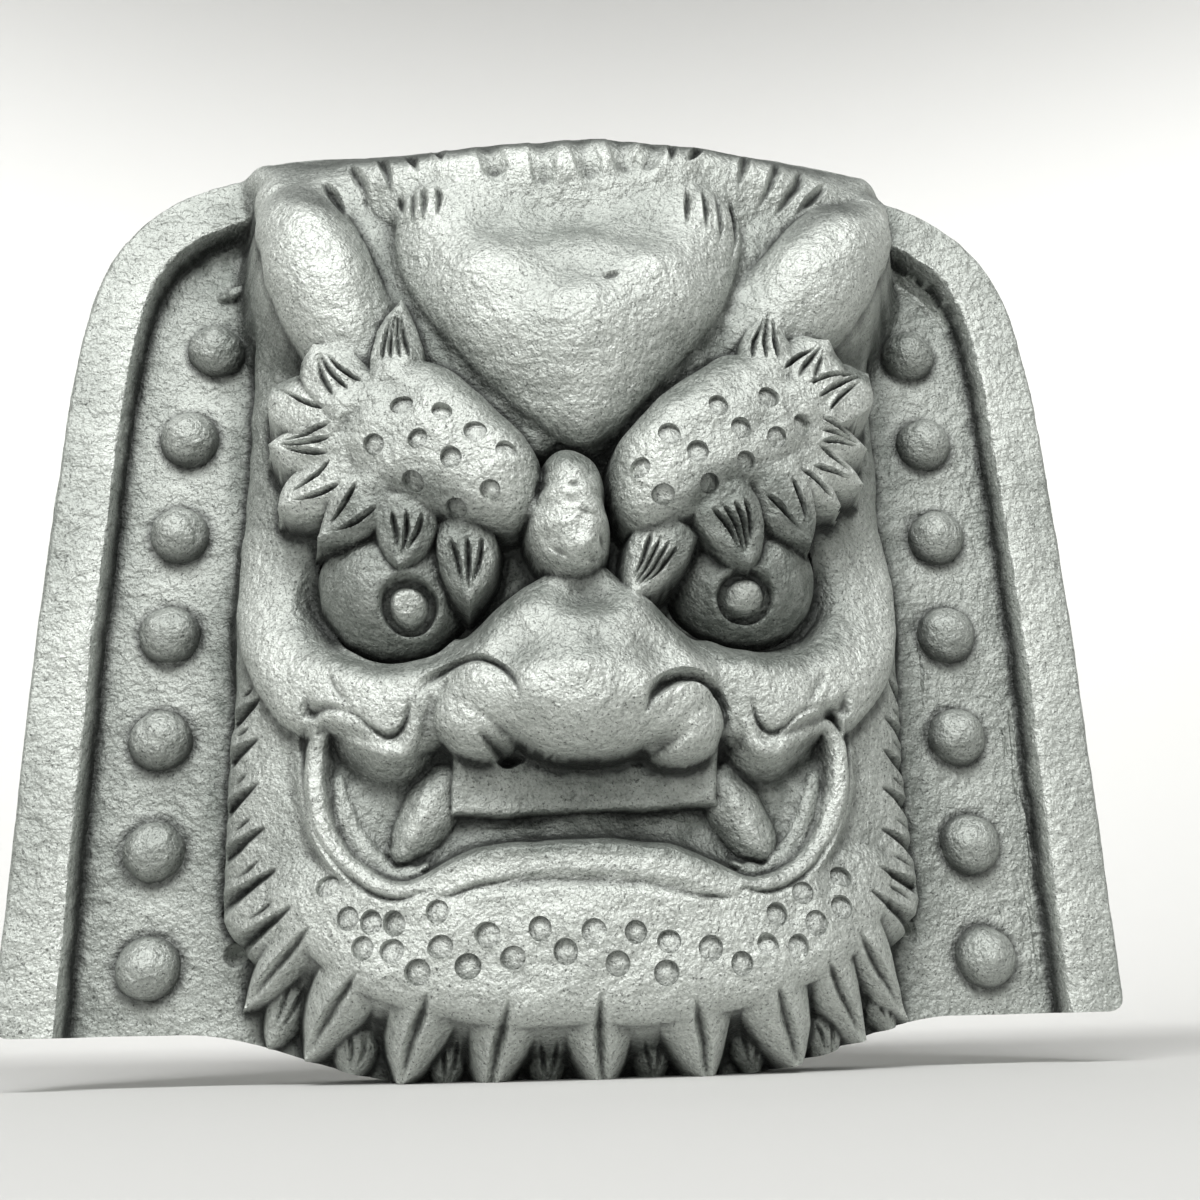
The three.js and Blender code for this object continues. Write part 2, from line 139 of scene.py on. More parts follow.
class ClayBlock:
    # the height of the carving on a grid; x and z stray a little from the true places
    def __init__(self, step):
        self.step = step
        self.left, self.bottom, right, top = tileSize["gridBox"]
        self.trueX, self.trueZ = np.meshgrid(np.arange(self.left, right + 0.001, step),
                                             np.arange(self.bottom, top + 0.001, step))
        self.h = np.zeros_like(self.trueX)
        x, z, waver = self.trueX, self.trueZ, tileSize["waver"]
        self.x = x + waver * lumps(x, z, 10, 3) + 0.6 * waver * lumps(x, z, 4.0, 4)
        self.z = z + waver * lumps(x, z, 10, 5) + 0.6 * waver * lumps(x, z, 4.0, 6)

    def window(self, points, reach):
        p = np.array(points, float)
        i0 = int((p[:, 0].min() - reach - self.left) / self.step)
        i1 = int((p[:, 0].max() + reach - self.left) / self.step) + 2
        j0 = int((p[:, 1].min() - reach - self.bottom) / self.step)
        j1 = int((p[:, 1].max() + reach - self.bottom) / self.step) + 2
        rows, columns = self.h.shape
        return slice(max(j0, 0), min(j1, rows)), slice(max(i0, 0), min(i1, columns))

    def heightAt(self, point):
        i = int(round((point[0] - self.left) / self.step))
        j = int(round((point[1] - self.bottom) / self.step))
        return float(self.h[min(max(j, 0), self.h.shape[0] - 1), min(max(i, 0), self.h.shape[1] - 1)])


def alongPath(curve, x, z):
    # distance to a path, and the path's other columns at the nearest point
    best = np.full(x.shape, np.inf)
    extra = [np.zeros_like(x) for _ in range(curve.shape[1] - 2)]
    for a, b in zip(curve[:-1], curve[1:]):
        dx, dz = b[0] - a[0], b[1] - a[1]
        t = np.clip(((x - a[0]) * dx + (z - a[1]) * dz) / (dx * dx + dz * dz + 1e-9), 0, 1)
        gap = np.hypot(x - a[0] - t * dx, z - a[1] - t * dz)
        closer = gap < best
        best = np.where(closer, gap, best)
        for k, value in enumerate(extra):
            value[closer] = (a[2 + k] + t * (b[2 + k] - a[2 + k]))[closer]
    return best, extra


def insideOf(curve, x, z):
    odd = np.zeros(x.shape, bool)
    for a, b in zip(curve[:-1], curve[1:]):
        if a[1] != b[1]:
            at = a[0] + (z - a[1]) * (b[0] - a[0]) / (b[1] - a[1])
            odd ^= ((a[1] > z) != (b[1] > z)) & (x < at)
    return odd


def edgeDistance(clay, win, outline, ease):
    # positive inside a closed outline, negative outside; `ease` mm of blur rounds its corners
    curve = smoothCurve(outline, closed=True, perSpan=6)
    x, z = clay.x[win], clay.z[win]
    gap, _ = alongPath(curve, x, z)
    gap = np.where(insideOf(curve, x, z), gap, -gap)
    return blurred(gap, ease / clay.step / 2)


def spotHeights(spots, x, z, softness):
    # one smooth surface that passes near a few (x, z, height) spots
    total, weight = 0, 0
    for sx, sz, sh in spots:
        w = 1 / ((x - sx) ** 2 + (z - sz) ** 2 + softness ** 2) ** 1.5
        total, weight = total + w * sh, weight + w
    return total / weight


def addRidge(clay, points, drop, blend, power=2.0, steep=4.0):
    # a roll of clay along a path; points are (x, z, half width, height)
    curve = smoothCurve(points)
    win = clay.window(curve, curve[:, 2].max() + blend + 4 + drop / steep)
    gap, (half, top) = alongPath(curve, clay.x[win], clay.z[win])
    body = top - drop * roundOff(gap / half, power) - steep * np.clip(gap - half, 0, None)
    clay.h[win] = smoothMax(clay.h[win], body, blend)


def ovalPlace(clay, win, at, radii, turn):
    # where each spot lies in a turned oval, as shares of its two radii
    a = math.radians(turn)
    dx, dz = clay.x[win] - at[0], clay.z[win] - at[1]
    return ((dx * math.cos(a) + dz * math.sin(a)) / radii[0],
            (dz * math.cos(a) - dx * math.sin(a)) / radii[1])


def addDome(clay, at, radii, top, drop, blend, power, steep, turn=0.0):
    win = clay.window([at], max(radii) + blend + 4 + drop / steep)
    s = np.hypot(*ovalPlace(clay, win, at, radii, turn))
    body = top - drop * roundOff(s, power) - steep * min(radii) * np.clip(s - 1, 0, None)
    clay.h[win] = smoothMax(clay.h[win], body, blend)


def addPillow(clay, outline, spots, drop, reach, blend, softness, ease, power=2.0, steep=4.0):
    # a puffed pad inside an outline, its edge rounded over `reach` and let down by `drop`
    win = clay.window(outline, blend + 6 + drop / steep)
    gap = edgeDistance(clay, win, outline, ease)
    top = spotHeights(spots, clay.x[win], clay.z[win], softness)
    body = top - drop * roundOff(1 - gap / reach, power) + steep * np.clip(gap, None, 0)
    clay.h[win] = smoothMax(clay.h[win], body, blend)


def cutPocket(clay, outline, floors, steep, reach, lift, blend, softness):
    # a sunk area with walls; its floor lifts towards the walls
    win = clay.window(outline, 10)
    gap = edgeDistance(clay, win, outline, 1.0)
    floor = spotHeights(floors, clay.x[win], clay.z[win], softness)
    limit = floor + lift * roundOff(1 - gap / reach, 2.0) - steep * np.clip(gap, None, 0)
    clay.h[win] = smoothMin(clay.h[win], limit, blend)


def cutGroove(clay, points, burr=0.0, sharp=1.0):
    # a gouged line; points are (x, z, half width, depth)
    curve = smoothCurve(points, perSpan=6)
    win = clay.window(curve, curve[:, 2].max() * 2.5 + 1)
    gap, (half, depth) = alongPath(curve, clay.x[win], clay.z[win])
    s = gap / half
    clay.h[win] += burr * depth * np.exp(-((s - 1.25) / 0.45) ** 2) - depth * np.clip(1 - s, 0, 1) ** sharp


def cutStroke(clay, a, b, width, depth, bow=0.04, burr=0.12, sharp=0.8):
    # one stroke of the knife, tapered at both ends
    dx, dz = b[0] - a[0], b[1] - a[1]
    points = []
    for s, w, d in ((0, 0.35, 0.1), (0.2, 0.95, 0.9), (0.55, 1.0, 1.0), (1, 0.3, 0.1)):
        side = bow * 4 * s * (1 - s)
        points.append((a[0] + s * dx - side * dz, a[1] + s * dz + side * dx, w * width, d * depth))
    cutGroove(clay, points, burr, sharp)


def cutDent(clay, at, radii, depth, turn):
    win = clay.window([at], max(radii) + 3)
    u, v = ovalPlace(clay, win, at, radii, turn)
    clay.h[win] -= depth * np.clip(1 - u * u - v * v, 0, 1) ** 0.8


def addLeaf(clay, root, tip, width, tipHeight, camber, strokes, steep=6.0, blend=1.2, point=2.0, depth=1.5,
            spread=0.5, lineWidth=0.75, rootHeight=None, sag=1.3, start=0.05):
    # A leaf of hair that grows flush out of the clay at its root and stands free at its tip. A higher
    # `point` makes it blunter, `sag` lets it droop, and its knife strokes fan out by `spread`.
    root, tip = np.array(root, float), np.array(tip, float)
    axis = tip - root
    length = float(np.hypot(*axis))
    axis /= length
    side = np.array([-axis[1], axis[0]])
    rootHeight = clay.heightAt(root) + 0.2 if rootHeight is None else rootHeight
    win = clay.window([root, tip], width * 0.8 + 8)
    dx, dz = clay.x[win] - root[0], clay.z[win] - root[1]
    s = (dx * axis[0] + dz * axis[1]) / length
    v = dx * side[0] + dz * side[1]
    along = np.clip(s, 0, 1)
    half = width / 2 * np.clip(1 - along ** point, 0, 1) ** 0.75 * (0.86 + 0.14 * ramp(along, 0, 0.35))
    top = rootHeight + (tipHeight - rootHeight) * along ** sag
    body = top - camber * np.clip(np.abs(v) / np.maximum(half, 0.05), 0, 1) ** 2.2
    body -= steep * (np.clip(np.abs(v) - half, 0, None) + length * np.clip(s - 1, 0, None))
    body -= 1.2 * length * np.clip(-s, 0, None)
    clay.h[win] = smoothMax(clay.h[win], body, blend)
    for k in range(strokes):
        f = 0 if strokes == 1 else spread * (2 * k / (strokes - 1) - 1)
        end = 0.86 - 0.14 * abs(f)
        a = root + axis * length * start + side * (f * width * 0.5)
        b = root + axis * length * end + side * (f * width * 0.14)
        cutStroke(clay, a, b, lineWidth, depth)


def tileOutline():
    half = tileSize["width"] / 2
    side = tileSize["sideLine"]
    right = smoothCurve([(-side[1][0], side[1][1])] + side, perSpan=12)[12:]
    r = tileSize["cornerRadius"]
    corner = [(half - r + r * math.cos(a), tileSize["skirtRise"] + r - r * math.sin(a))
              for a in np.radians(np.arange(0, 91, 18))]
    skirt = [(x, tileSize["skirtRise"] * float(ramp(x, tileSize["footHalfWidth"], tileSize["skirtEndX"])))
             for x in np.linspace(tileSize["skirtEndX"], tileSize["footHalfWidth"], 20)]
    oneSide = np.vstack([right, corner, skirt])
    return np.vstack([oneSide, (oneSide * [-1, 1])[::-1][:-1]]), right


rimShape = {
    "waver": 0.3,
    "unevenness": [(0.25, 22, 12)],
    "tornCorner": (119, 238),       # the inner edge is chipped, worst at the upper right
    "tornReach": 9,
    "chipReach": 2.6,
    "chipDepth": 7.0,
    "chips": [(1, 3.2, 13), (0.5, 1.6, 14)],
}


def shapeRim(clay):
    _, right = tileOutline()
    arch = np.vstack([[-150, -20], (right * [-1, 1])[::-1][:-1], right, [150, -20]])
    x = clay.trueX + rimShape["waver"] * (clay.x - clay.trueX)
    z = clay.trueZ + rimShape["waver"] * (clay.z - clay.trueZ)
    gap, _ = alongPath(arch, x, z)
    width = tileSize["rimWidth"] + 0.4 * lumps(x, z, 26, 11)
    rim = tileSize["rimHeight"] * (1 - ramp(gap - width, -1.1, 1.0))
    wear = tileSize["rimEdgeWear"]
    rim -= wear * np.clip(1 - gap / wear, 0, 1) ** 2
    rim += lumpSum(x, z, rimShape["unevenness"])
    atX, atZ = rimShape["tornCorner"]
    away = ((x - atX) / rimShape["tornReach"]) ** 2 + ((z - atZ) / rimShape["tornReach"]) ** 2
    damage = np.exp(-away) + 0.12
    edge = np.exp(-((gap - width) / rimShape["chipReach"]) ** 2)
    bite = np.clip(lumpSum(x, z, rimShape["chips"]) - 0.1, 0, None)
    rim -= np.clip(rimShape["chipDepth"] * damage, 0, 4.5) * bite * edge
    clay.h = np.maximum(clay.h, rim)
    clay.h += 0.22 * lumps(x, z, 14, 15)
    clay.rimGap = gap


groundShape = {
    # the ground draws in towards the foot, so the beard's side leaves stand over the bare slab
    "halfWidth": 95.0,
    "narrower": 38,
    "narrowBelow": 45,
    "edgeHeight": 3.0,
    "swell": 25.0,
    "jawFlatness": 0.30,
    "jawTop": 42,
}


def shapeFaceGround(clay):
    narrowing = 1 - ramp(clay.z, 0, groundShape["narrowBelow"])
    half = groundShape["halfWidth"] - groundShape["narrower"] * narrowing
    side = np.clip(np.abs(clay.x) / half, 0, 1)
    across = groundShape["edgeHeight"] + groundShape["swell"] * (1 - side ** 3.0) ** 0.5
    flat = groundShape["jawFlatness"]
    jaw = flat + (1 - flat) * ramp(clay.z, -5, groundShape["jawTop"])
    clay.h = smoothMax(clay.h, across * jaw - 8 * np.clip(np.abs(clay.x) - half, 0, None), 1.0)


hornShape = {
    "left": [
        (-57, 186, 14, 37), (-63, 200, 15, 41), (-70, 214, 15.5, 44), (-76, 230, 15, 43),
        (-82, 244, 13, 37), (-86, 254, 11, 29)],
    "right": [
        (52, 194, 15, 38), (61, 208, 16, 42), (70, 220, 16.5, 45), (80, 234, 16, 43), (88, 245, 14, 37),
        (92, 254, 11, 29)],
    "drop": 15,
    # soft ground between the horns, the forehead and the brows
    "valleys": [
        [(-80, 268, 14, 28), (-68, 248, 12, 30), (-56, 226, 11, 32), (-46, 207, 10, 36),
         (-30, 188, 9, 38), (-12, 170, 7, 39)],
        [(82, 270, 14, 29), (70, 258, 12, 31), (58, 240, 11, 33), (47, 216, 10, 36), (32, 196, 9, 38),
         (12, 175, 7, 39)]],
}


def shapeHorns(clay):
    for valley in hornShape["valleys"]:
        addRidge(clay, valley, drop=5, blend=6, steep=2.2)
    for side in ("left", "right"):
        addRidge(clay, hornShape[side], hornShape["drop"], blend=7, power=1.9, steep=2.6)


foreheadShape = {
    "outline": [
        (1, 164), (12, 172), (28, 189), (43, 209), (50, 228), (49, 243), (40, 252), (27, 250), (12, 246),
        (-4, 243), (-18, 244), (-31, 248), (-43, 251), (-51, 243), (-52, 228), (-46, 212), (-34, 195),
        (-19, 178), (-7, 168)],
    "spots": [
        (1, 200, 59), (-20, 212, 54), (22, 212, 55), (-43, 238, 46), (42, 239, 47), (0, 178, 52),
        (0, 222, 51), (0, 238, 40), (-20, 240, 41.5), (22, 240, 41.5), (0, 250, 38), (-28, 250, 41),
        (28, 250, 41)],
    "nick": {"at": (9, 211.6), "radii": (2.4, 1.2), "depth": 1.6, "turn": 20},
}


def shapeForehead(clay):
    addPillow(clay, foreheadShape["outline"], foreheadShape["spots"], drop=15, reach=24, blend=10, power=1.9,
              steep=2.8, softness=12, ease=7)
    cutDent(clay, **foreheadShape["nick"])


crownShape = {
    "outline": [
        (-64, 292), (-66, 260), (-54, 240), (-26, 228), (0, 222), (26, 228), (52, 242), (70, 262),
        (68, 292)],
    "spots": [
        (0, 238, 37), (-48, 252, 35), (50, 254, 35), (0, 256, 44.5), (-28, 253, 42), (30, 255, 42),
        (0, 285, 42)],
    "edgeZ": 283,
    "leftFall": 0.155,
    "rightFall": 0.0012,
    "edgeHeight": 16.5,
    "slope": 1.36,           # how steeply the head rolls back, less so at the sides
    "sideEase": 0.5,
    # finger-wide flutes along the hairline
    "flutes": [
        ((-25.8, 268), (-22.2, 251.3)), ((-9, 270), (-7.9, 248.3)), ((1.8, 270), (6.2, 250.6)),
        ((14.1, 270), (16.5, 253.8)), ((26, 268), (21, 254.7))],
    # share of the way, half width and depth along each flute
    "fluteProfile": [(0, 3.4, 1.0), (0.5, 4.2, 2.2), (0.85, 4.0, 2.8), (1.0, 3.0, 1.2)],
    "strokes": [
        ((-66.3, 263), (-61, 246.1)), ((-58, 266), (-53.7, 248.1)), ((-74, 256), (-66.6, 240.7)),
        ((-50, 268), (-46, 255)), ((-41, 269), (-39, 258)), ((54.9, 269.4), (51, 253.7)),
        ((66, 270), (57.5, 248.6)), ((74, 267), (61.9, 246.3)), ((31, 270), (29.3, 256.8)),
        ((41, 269), (35, 258.8)), ((80, 262), (69, 248))],
    "fineStrokes": [
        ((-47.3, 248), (-47.4, 234.1)), ((-44.3, 249), (-44.4, 233.6)), ((-40.6, 249), (-39.6, 235.4)),
        ((-51, 247), (-49.5, 238)), ((34.7, 249), (32.6, 234.6)), ((39.8, 250), (38.4, 232.5)),
        ((44, 250), (42.3, 229.3)), ((48.4, 249), (47.2, 226.4))],
}


def shapeCrown(clay):
    addPillow(clay, crownShape["outline"], crownShape["spots"], drop=10, reach=16, blend=8, ease=4,
              softness=14)


def rollCrown(clay):
    # the top of the head rolls back to the upper edge of the slab, lowest behind the horns
    x, z = clay.trueX, clay.trueZ
    fall = np.where(x < 0, crownShape["leftFall"] * np.abs(x), crownShape["rightFall"] * x * x)
    edge = crownShape["edgeZ"] - fall
    slope = crownShape["slope"] - crownShape["sideEase"] * ramp(np.abs(x), 40, 90)
    limit = np.maximum(crownShape["edgeHeight"] + slope * (edge - z), tileSize["rimHeight"])
    limit = limit + 0.5 * lumps(x, z, 7, 31)
    clay.h = np.where(np.abs(x) < 140, smoothMin(clay.h, np.maximum(limit, clay.h * 0.2), 9), clay.h)


def between(a, b, profile):
    # groove points on the line from a to b; the profile is (share of the way, half width, depth)
    a, b = np.array(a, float), np.array(b, float)
    return [(*(a + (b - a) * s), width, depth) for s, width, depth in profile]


def marksOnCrown(clay):
    for a, b in crownShape["flutes"]:
        cutGroove(clay, between(a, b, crownShape["fluteProfile"]), burr=0.12, sharp=0.6)
    for a, b in crownShape["strokes"]:
        cutStroke(clay, a, b, width=1.7, depth=2.6, sharp=0.7)
    for a, b in crownShape["fineStrokes"]:
        cutStroke(clay, a, b, width=1.05, depth=2.1)


eyeShape = {
    # where each eyeball and its pupil sit; the others are sizes and heights
    "left": {"ball": (-49.0, 130.0), "pupil": (-45.3, 120.2)},
    "right": {"ball": (46.3, 133.5), "pupil": (45.5, 123.4)},
    "ballRadius": 22.6,
    "ballTop": 38.5,
    "pupilRadius": 6.8,
    "pupilCore": 4.8,
    "pupilCut": 3.2,
    "pupilRise": 3.4,
    "pupilDents": [(0.9, 2.8, 71)],
    "socketFloor": 19,
    "socketCut": 5.0,
}


def shapeEyes(clay):
    radius = eyeShape["ballRadius"]
    for side in ("left", "right"):
        at = eyeShape[side]["ball"]
        win = clay.window([at], 40)
        x, z = clay.x[win], clay.z[win]
        d = np.hypot(x - at[0], z - at[1])
        below = ramp((at[1] - z) / (d + 1e-6), -0.6, 0.3)
        clay.h[win] -= below * eyeShape["socketCut"] * np.exp(-((d - radius - 1.5) / 3.4) ** 2)
        socket = eyeShape["socketFloor"] + 7 * np.clip(d - radius + 0.4, 0, None)
        clay.h[win] = smoothMin(clay.h[win], socket, 2.5)
        addDome(clay, at, (radius, radius), eyeShape["ballTop"], drop=23, blend=0.7, power=2.0, steep=6)
    for side in ("left", "right"):
        at = eyeShape[side]["pupil"]
        win = clay.window([at], 14)
        x, z = clay.x[win], clay.z[win]
        d = np.hypot((x - at[0]) * 0.9, z - at[1])
        r = eyeShape["pupilRadius"]
        core = np.clip(1 - (d / eyeShape["pupilCore"]) ** 4, 0, 1)
        brim = 0.5 * np.exp(-((d - r - 1.4) / 0.9) ** 2)
        pocket = eyeShape["pupilCut"] * (1 - ramp(d, r - 0.6, r + 0.4))
        top = eyeShape["pupilRise"] + lumpSum(x, z, eyeShape["pupilDents"])
        clay.h[win] += brim - pocket + core * top


cheekShape = {
    # a broad band sweeps under each eye and swells beside the nose
    "left": [
        (-88, 146, 8, 10), (-83.5, 124, 11, 20), (-75.5, 107, 13, 28), (-62, 98, 15, 35),
        (-48, 95, 15, 39), (-34, 99, 14, 40)],
    "right": [
        (88, 148, 8, 10), (83.5, 126, 11, 20), (75.5, 109, 13, 28), (62, 98, 15, 35), (48, 95, 15, 39),
        (34, 99, 14, 40)],
}


def shapeCheeks(clay):
    for side in ("left", "right"):
        addRidge(clay, cheekShape[side], drop=10, blend=6, power=2.2, steep=3)


def mirrored(points, s):
    # the points as they are for s = 1, or on the other side of the face for s = -1
    return [(s * x, *rest) for x, *rest in points]


mouthShape = {
    "outline": [
        (-69, 88), (-64, 86.5), (-57, 83.5), (-50, 80.5), (-44, 79.5), (-38, 80.5), (-28, 82), (0, 82),
        (28, 83), (38, 82.5), (45, 81.5), (52, 82), (58, 85), (64, 89), (69, 92), (72, 82), (68.5, 69),
        (62, 59), (54, 51.5), (44, 49), (34, 53), (20, 57), (0, 58.5), (-20, 58), (-32, 55), (-44, 49),
        (-54, 51.5), (-62, 59), (-67, 69), (-70.5, 80)],
    "floors": [
        (-63, 79, 22), (-57, 68, 24), (-44, 62, 24), (-20, 70, 22), (20, 70, 22), (44, 62, 24),
        (57, 68, 24), (63, 80, 22), (0, 62, 27), (-20, 61, 26), (20, 61, 26)],
    # a thin bead runs up the outer side, hooks over at the corner and follows the upper lip
    "bead": [
        (40, 46, 1.6, 33), (48, 46.7, 2.2, 31.5), (57, 50.5, 2.8, 30), (64, 57.5, 3.0, 29),
        (68.5, 68, 3.0, 28), (70, 80, 2.8, 28), (67.5, 88.5, 2.2, 29), (62.5, 88, 2.4, 31),
        (56.5, 84.5, 2.4, 34), (50.5, 81.5, 2.4, 36), (45.4, 82, 2.2, 37), (42.5, 87, 1.6, 38)],
    "innerBead": [
        (42, 51, 1.6, 28), (50, 53, 2.2, 27), (57.5, 59.5, 2.4, 26), (61.5, 68, 2.2, 25),
        (63.5, 76, 1.6, 23)],
    # how sharp each crease is, then its points
    "creases": [
        (0.8, [
            (73, 92, 1.2, 0.8), (73.3, 84, 1.4, 1.9), (72, 71.5, 1.2, 1.6), (68.5, 61.5, 1.1, 1.5),
            (63.3, 54.3, 1.1, 1.6), (56.6, 48, 1.1, 1.8), (48, 44.5, 1.0, 1.7), (40.5, 45.8, 0.9, 0.8)]),
        (0.7, [
            (72, 97, 1.5, 0.5), (71, 93, 2.6, 3.6), (67, 93, 1.6, 1.8), (60, 91, 1.0, 1.0),
            (54.5, 87, 1.0, 1.8), (50, 85, 1.2, 2.2), (46.2, 87.5, 1.1, 2.0), (45, 93, 0.8, 0.6)]),
        (0.9, [(66, 103, 0.8, 0.3), (65, 100, 1.6, 0.9), (62, 95, 1.5, 1.0), (59.5, 91, 0.8, 0.5)])],
    # the lip is the crisp upper edge of the chin, set off by a shallow crease
    "lipCrease": [
        (-38, 43.5, 1.2, 0.5), (-27, 46.4, 2.2, 1.3), (-12, 48, 2.6, 1.6), (6, 48, 2.6, 1.6),
        (22, 46.2, 2.4, 1.4), (36, 42.6, 1.4, 0.6)],
    "lipNicks": [((-36, 44.2), (-14, 49.4), 0.9), ((38, 43), (16, 47.2), 0.8)],
}


def shapeMouth(clay):
    cutPocket(clay, mouthShape["outline"], mouthShape["floors"], steep=3.0, reach=6, lift=6, blend=2.0,
              softness=7)
    for s in (-1, 1):
        addRidge(clay, mirrored(mouthShape["bead"], s), drop=2.5, blend=3.0, steep=2.0)
        addRidge(clay, mirrored(mouthShape["innerBead"], s), drop=2.5, blend=3.0, steep=1.4)
        for sharp, points in mouthShape["creases"]:
            cutGroove(clay, mirrored(points, s), sharp=sharp)


def shapeLowerLip(clay):
    cutGroove(clay, mouthShape["lipCrease"], burr=0.1)
    for a, b, depth in mouthShape["lipNicks"]:
        cutStroke(clay, a, b, width=0.8, depth=depth)


teethShape = {
    # left and right end and the lower edge of the tooth band, then its height
    "left": (-33.5, 65.2),
    "right": (35.5, 66.8),
    "top": 79.0,
    "height": 31.0,
    "fangs": {
        "left": [
            (-34.5, 75, 7.4, 29), (-38.8, 67.5, 7.8, 30.5), (-43.6, 60, 6.6, 30),
            (-45.8, 56.4, 4.8, 28.5)],
        "right": [
            (36.5, 75, 7.6, 29), (40.8, 67, 8.0, 30.5), (46.2, 58.4, 6.6, 30), (48.6, 54.4, 4.8, 28)],
    },
    # the fold of gum at the foot of each fang and the cut beside it
    "gumFold": [(54, 58, 0.8, 24), (51.5, 53, 1.2, 26), (45.5, 50.3, 1.3, 28), (40, 52.5, 0.8, 29)],
    "gumCut": [(50.5, 56, 0.8, 0.6), (47.5, 53, 1.2, 2.2), (43.5, 54, 0.8, 0.8)],
}


def shapeTeeth(clay):
    (x0, zLeft), (x1, zRight) = teethShape["left"], teethShape["right"]
    zTop, top = teethShape["top"], teethShape["height"]
    win = clay.window([(x0, zLeft), (x1, zTop)], 8)
    x, z = clay.x[win], clay.z[win]
    lower = zLeft + (zRight - zLeft) * (x - x0) / (x1 - x0)
    gap = np.minimum(np.minimum(x - x0, x1 - x), z - lower)
    body = top - 1.0 * roundOff(1 - gap / 1.8, 2) + 8 * np.clip(gap, None, 0) - 0.1 * (zTop - z)
    clay.h[win] = np.where(z > zTop + 4, clay.h[win], smoothMax(clay.h[win], body, 0.8))
    for points in teethShape["fangs"].values():
        addRidge(clay, points, drop=7, blend=1.3, power=1.5, steep=4)
    for s in (-1, 1):
        addRidge(clay, mirrored(teethShape["gumFold"], s), drop=2.5, blend=1.4, steep=2.5)
        cutGroove(clay, mirrored(teethShape["gumCut"], s))


noseShape = {
    "outline": [
        (1, 136), (13, 127), (24, 118), (35, 111), (38, 101), (32, 92), (24, 85), (17.5, 81.5), (9, 78.6),
        (0, 78), (-9, 79), (-17, 82.5), (-23, 86.5), (-32, 93), (-38, 102), (-34, 111), (-24, 118),
        (-12, 127)],
    "spots": [
        (1.5, 122, 40), (1, 108, 50), (0, 96, 60), (13, 94, 57), (-13, 94, 57), (0, 82, 53),
        (20, 106, 45), (-20, 106, 45), (22, 92, 50), (-22, 92, 50), (33, 113, 37), (-33, 113, 37),
        (12, 84, 51), (-12, 84, 51), (0, 89, 58)],
    "wings": [
        {"at": (-26.0, 89.5), "radii": (12.5, 11.5), "top": 46, "turn": -20},
        {"at": (25.0, 87.5), "radii": (11.5, 11.5), "top": 47, "turn": 12}],
    # how sharp each curl is, then its points
    "curls": [
        (0.8, [
            (-42, 96, 1.6, 0.6), (-39, 99, 1.8, 2.2), (-34, 102, 1.5, 3.0), (-28, 103.4, 1.3, 3.0),
            (-22, 101, 1.2, 2.6), (-18, 95.5, 1.0, 1.8), (-16.5, 90, 0.8, 0.4)]),
        (0.7, [
            (15, 88.5, 1.0, 1.2), (17.5, 93.5, 1.9, 4.2), (23, 97.3, 2.3, 5.6), (30, 98, 2.1, 4.8),
            (35.8, 93.5, 1.7, 2.6), (38, 86, 1.4, 1.2), (36.5, 78, 1.2, 0.6)]),
        (0.8, [(-39.5, 94, 1.6, 0.6), (-40.5, 87, 1.9, 1.2), (-36.5, 79.5, 1.6, 1.0)])],
    # the left nostril is a slanting nick in the lower edge, the right one a shallow fold
    "nostrils": [
        (0.8, [(-26.5, 84, 0.8, 0.6), (-23, 81, 1.9, 4.5), (-19, 79, 2.2, 7.0), (-15.5, 79, 1.0, 2.0)]),
        (1.2, [
            (15.5, 78.5, 1.5, 1.0), (19, 79.5, 2.4, 3.0), (23.5, 82, 2.4, 1.6), (27, 84.5, 1.6, 0.4)])],
}


def shapeNose(clay):
    addPillow(clay, noseShape["outline"], noseShape["spots"], drop=13, reach=13, blend=3.5, power=2.2,
              steep=8, softness=6, ease=3)
    for wing in noseShape["wings"]:
        addDome(clay, **wing, drop=15, blend=9.0, power=2.2, steep=5)
    for sharp, points in noseShape["curls"] + noseShape["nostrils"]:
        cutGroove(clay, points, sharp=sharp)


nubShape = {
    "domes": [
        {"at": (-2.3, 149), "radii": (10.6, 16.0), "top": 50.0, "blend": 1.5, "power": 2.6, "steep": 7},
        {"at": (-2.8, 140), "radii": (12.4, 14.6), "top": 51.0, "blend": 7, "power": 2.8, "steep": 8}],
    "middle": (-2.8, 142),
    "crumple": [(1.3, 5.0, 61), (0.9, 2.2, 62)],
    # place, radii, depth and turn of each crack and dent
    "dents": [
        ((-6.5, 131.5), (3.2, 0.9), 1.3, -30), ((2.5, 130), (3.4, 0.9), 1.2, 20),
        ((5.8, 135), (1.3, 2.6), 1.8, 10), ((-2, 149), (1.8, 1.1), 1.1, 0),
        ((1.5, 141), (3.4, 0.8), 0.8, -12), ((4.6, 147), (1.3, 1.3), 1.0, 0)],
}


def shapeNub(clay):
    for dome in nubShape["domes"]:
        addDome(clay, **dome, drop=24)
    midX, midZ = nubShape["middle"]
    win = clay.window([nubShape["middle"]], 20)
    x, z = clay.x[win], clay.z[win]
    near = ramp(-np.hypot((x - midX) / 13, (z - midZ) / 20), -1.0, -0.75)
    clay.h[win] += near * lumpSum(x, z, nubShape["crumple"])
    for at, radii, depth, turn in nubShape["dents"]:
        cutDent(clay, at, radii, depth, turn)


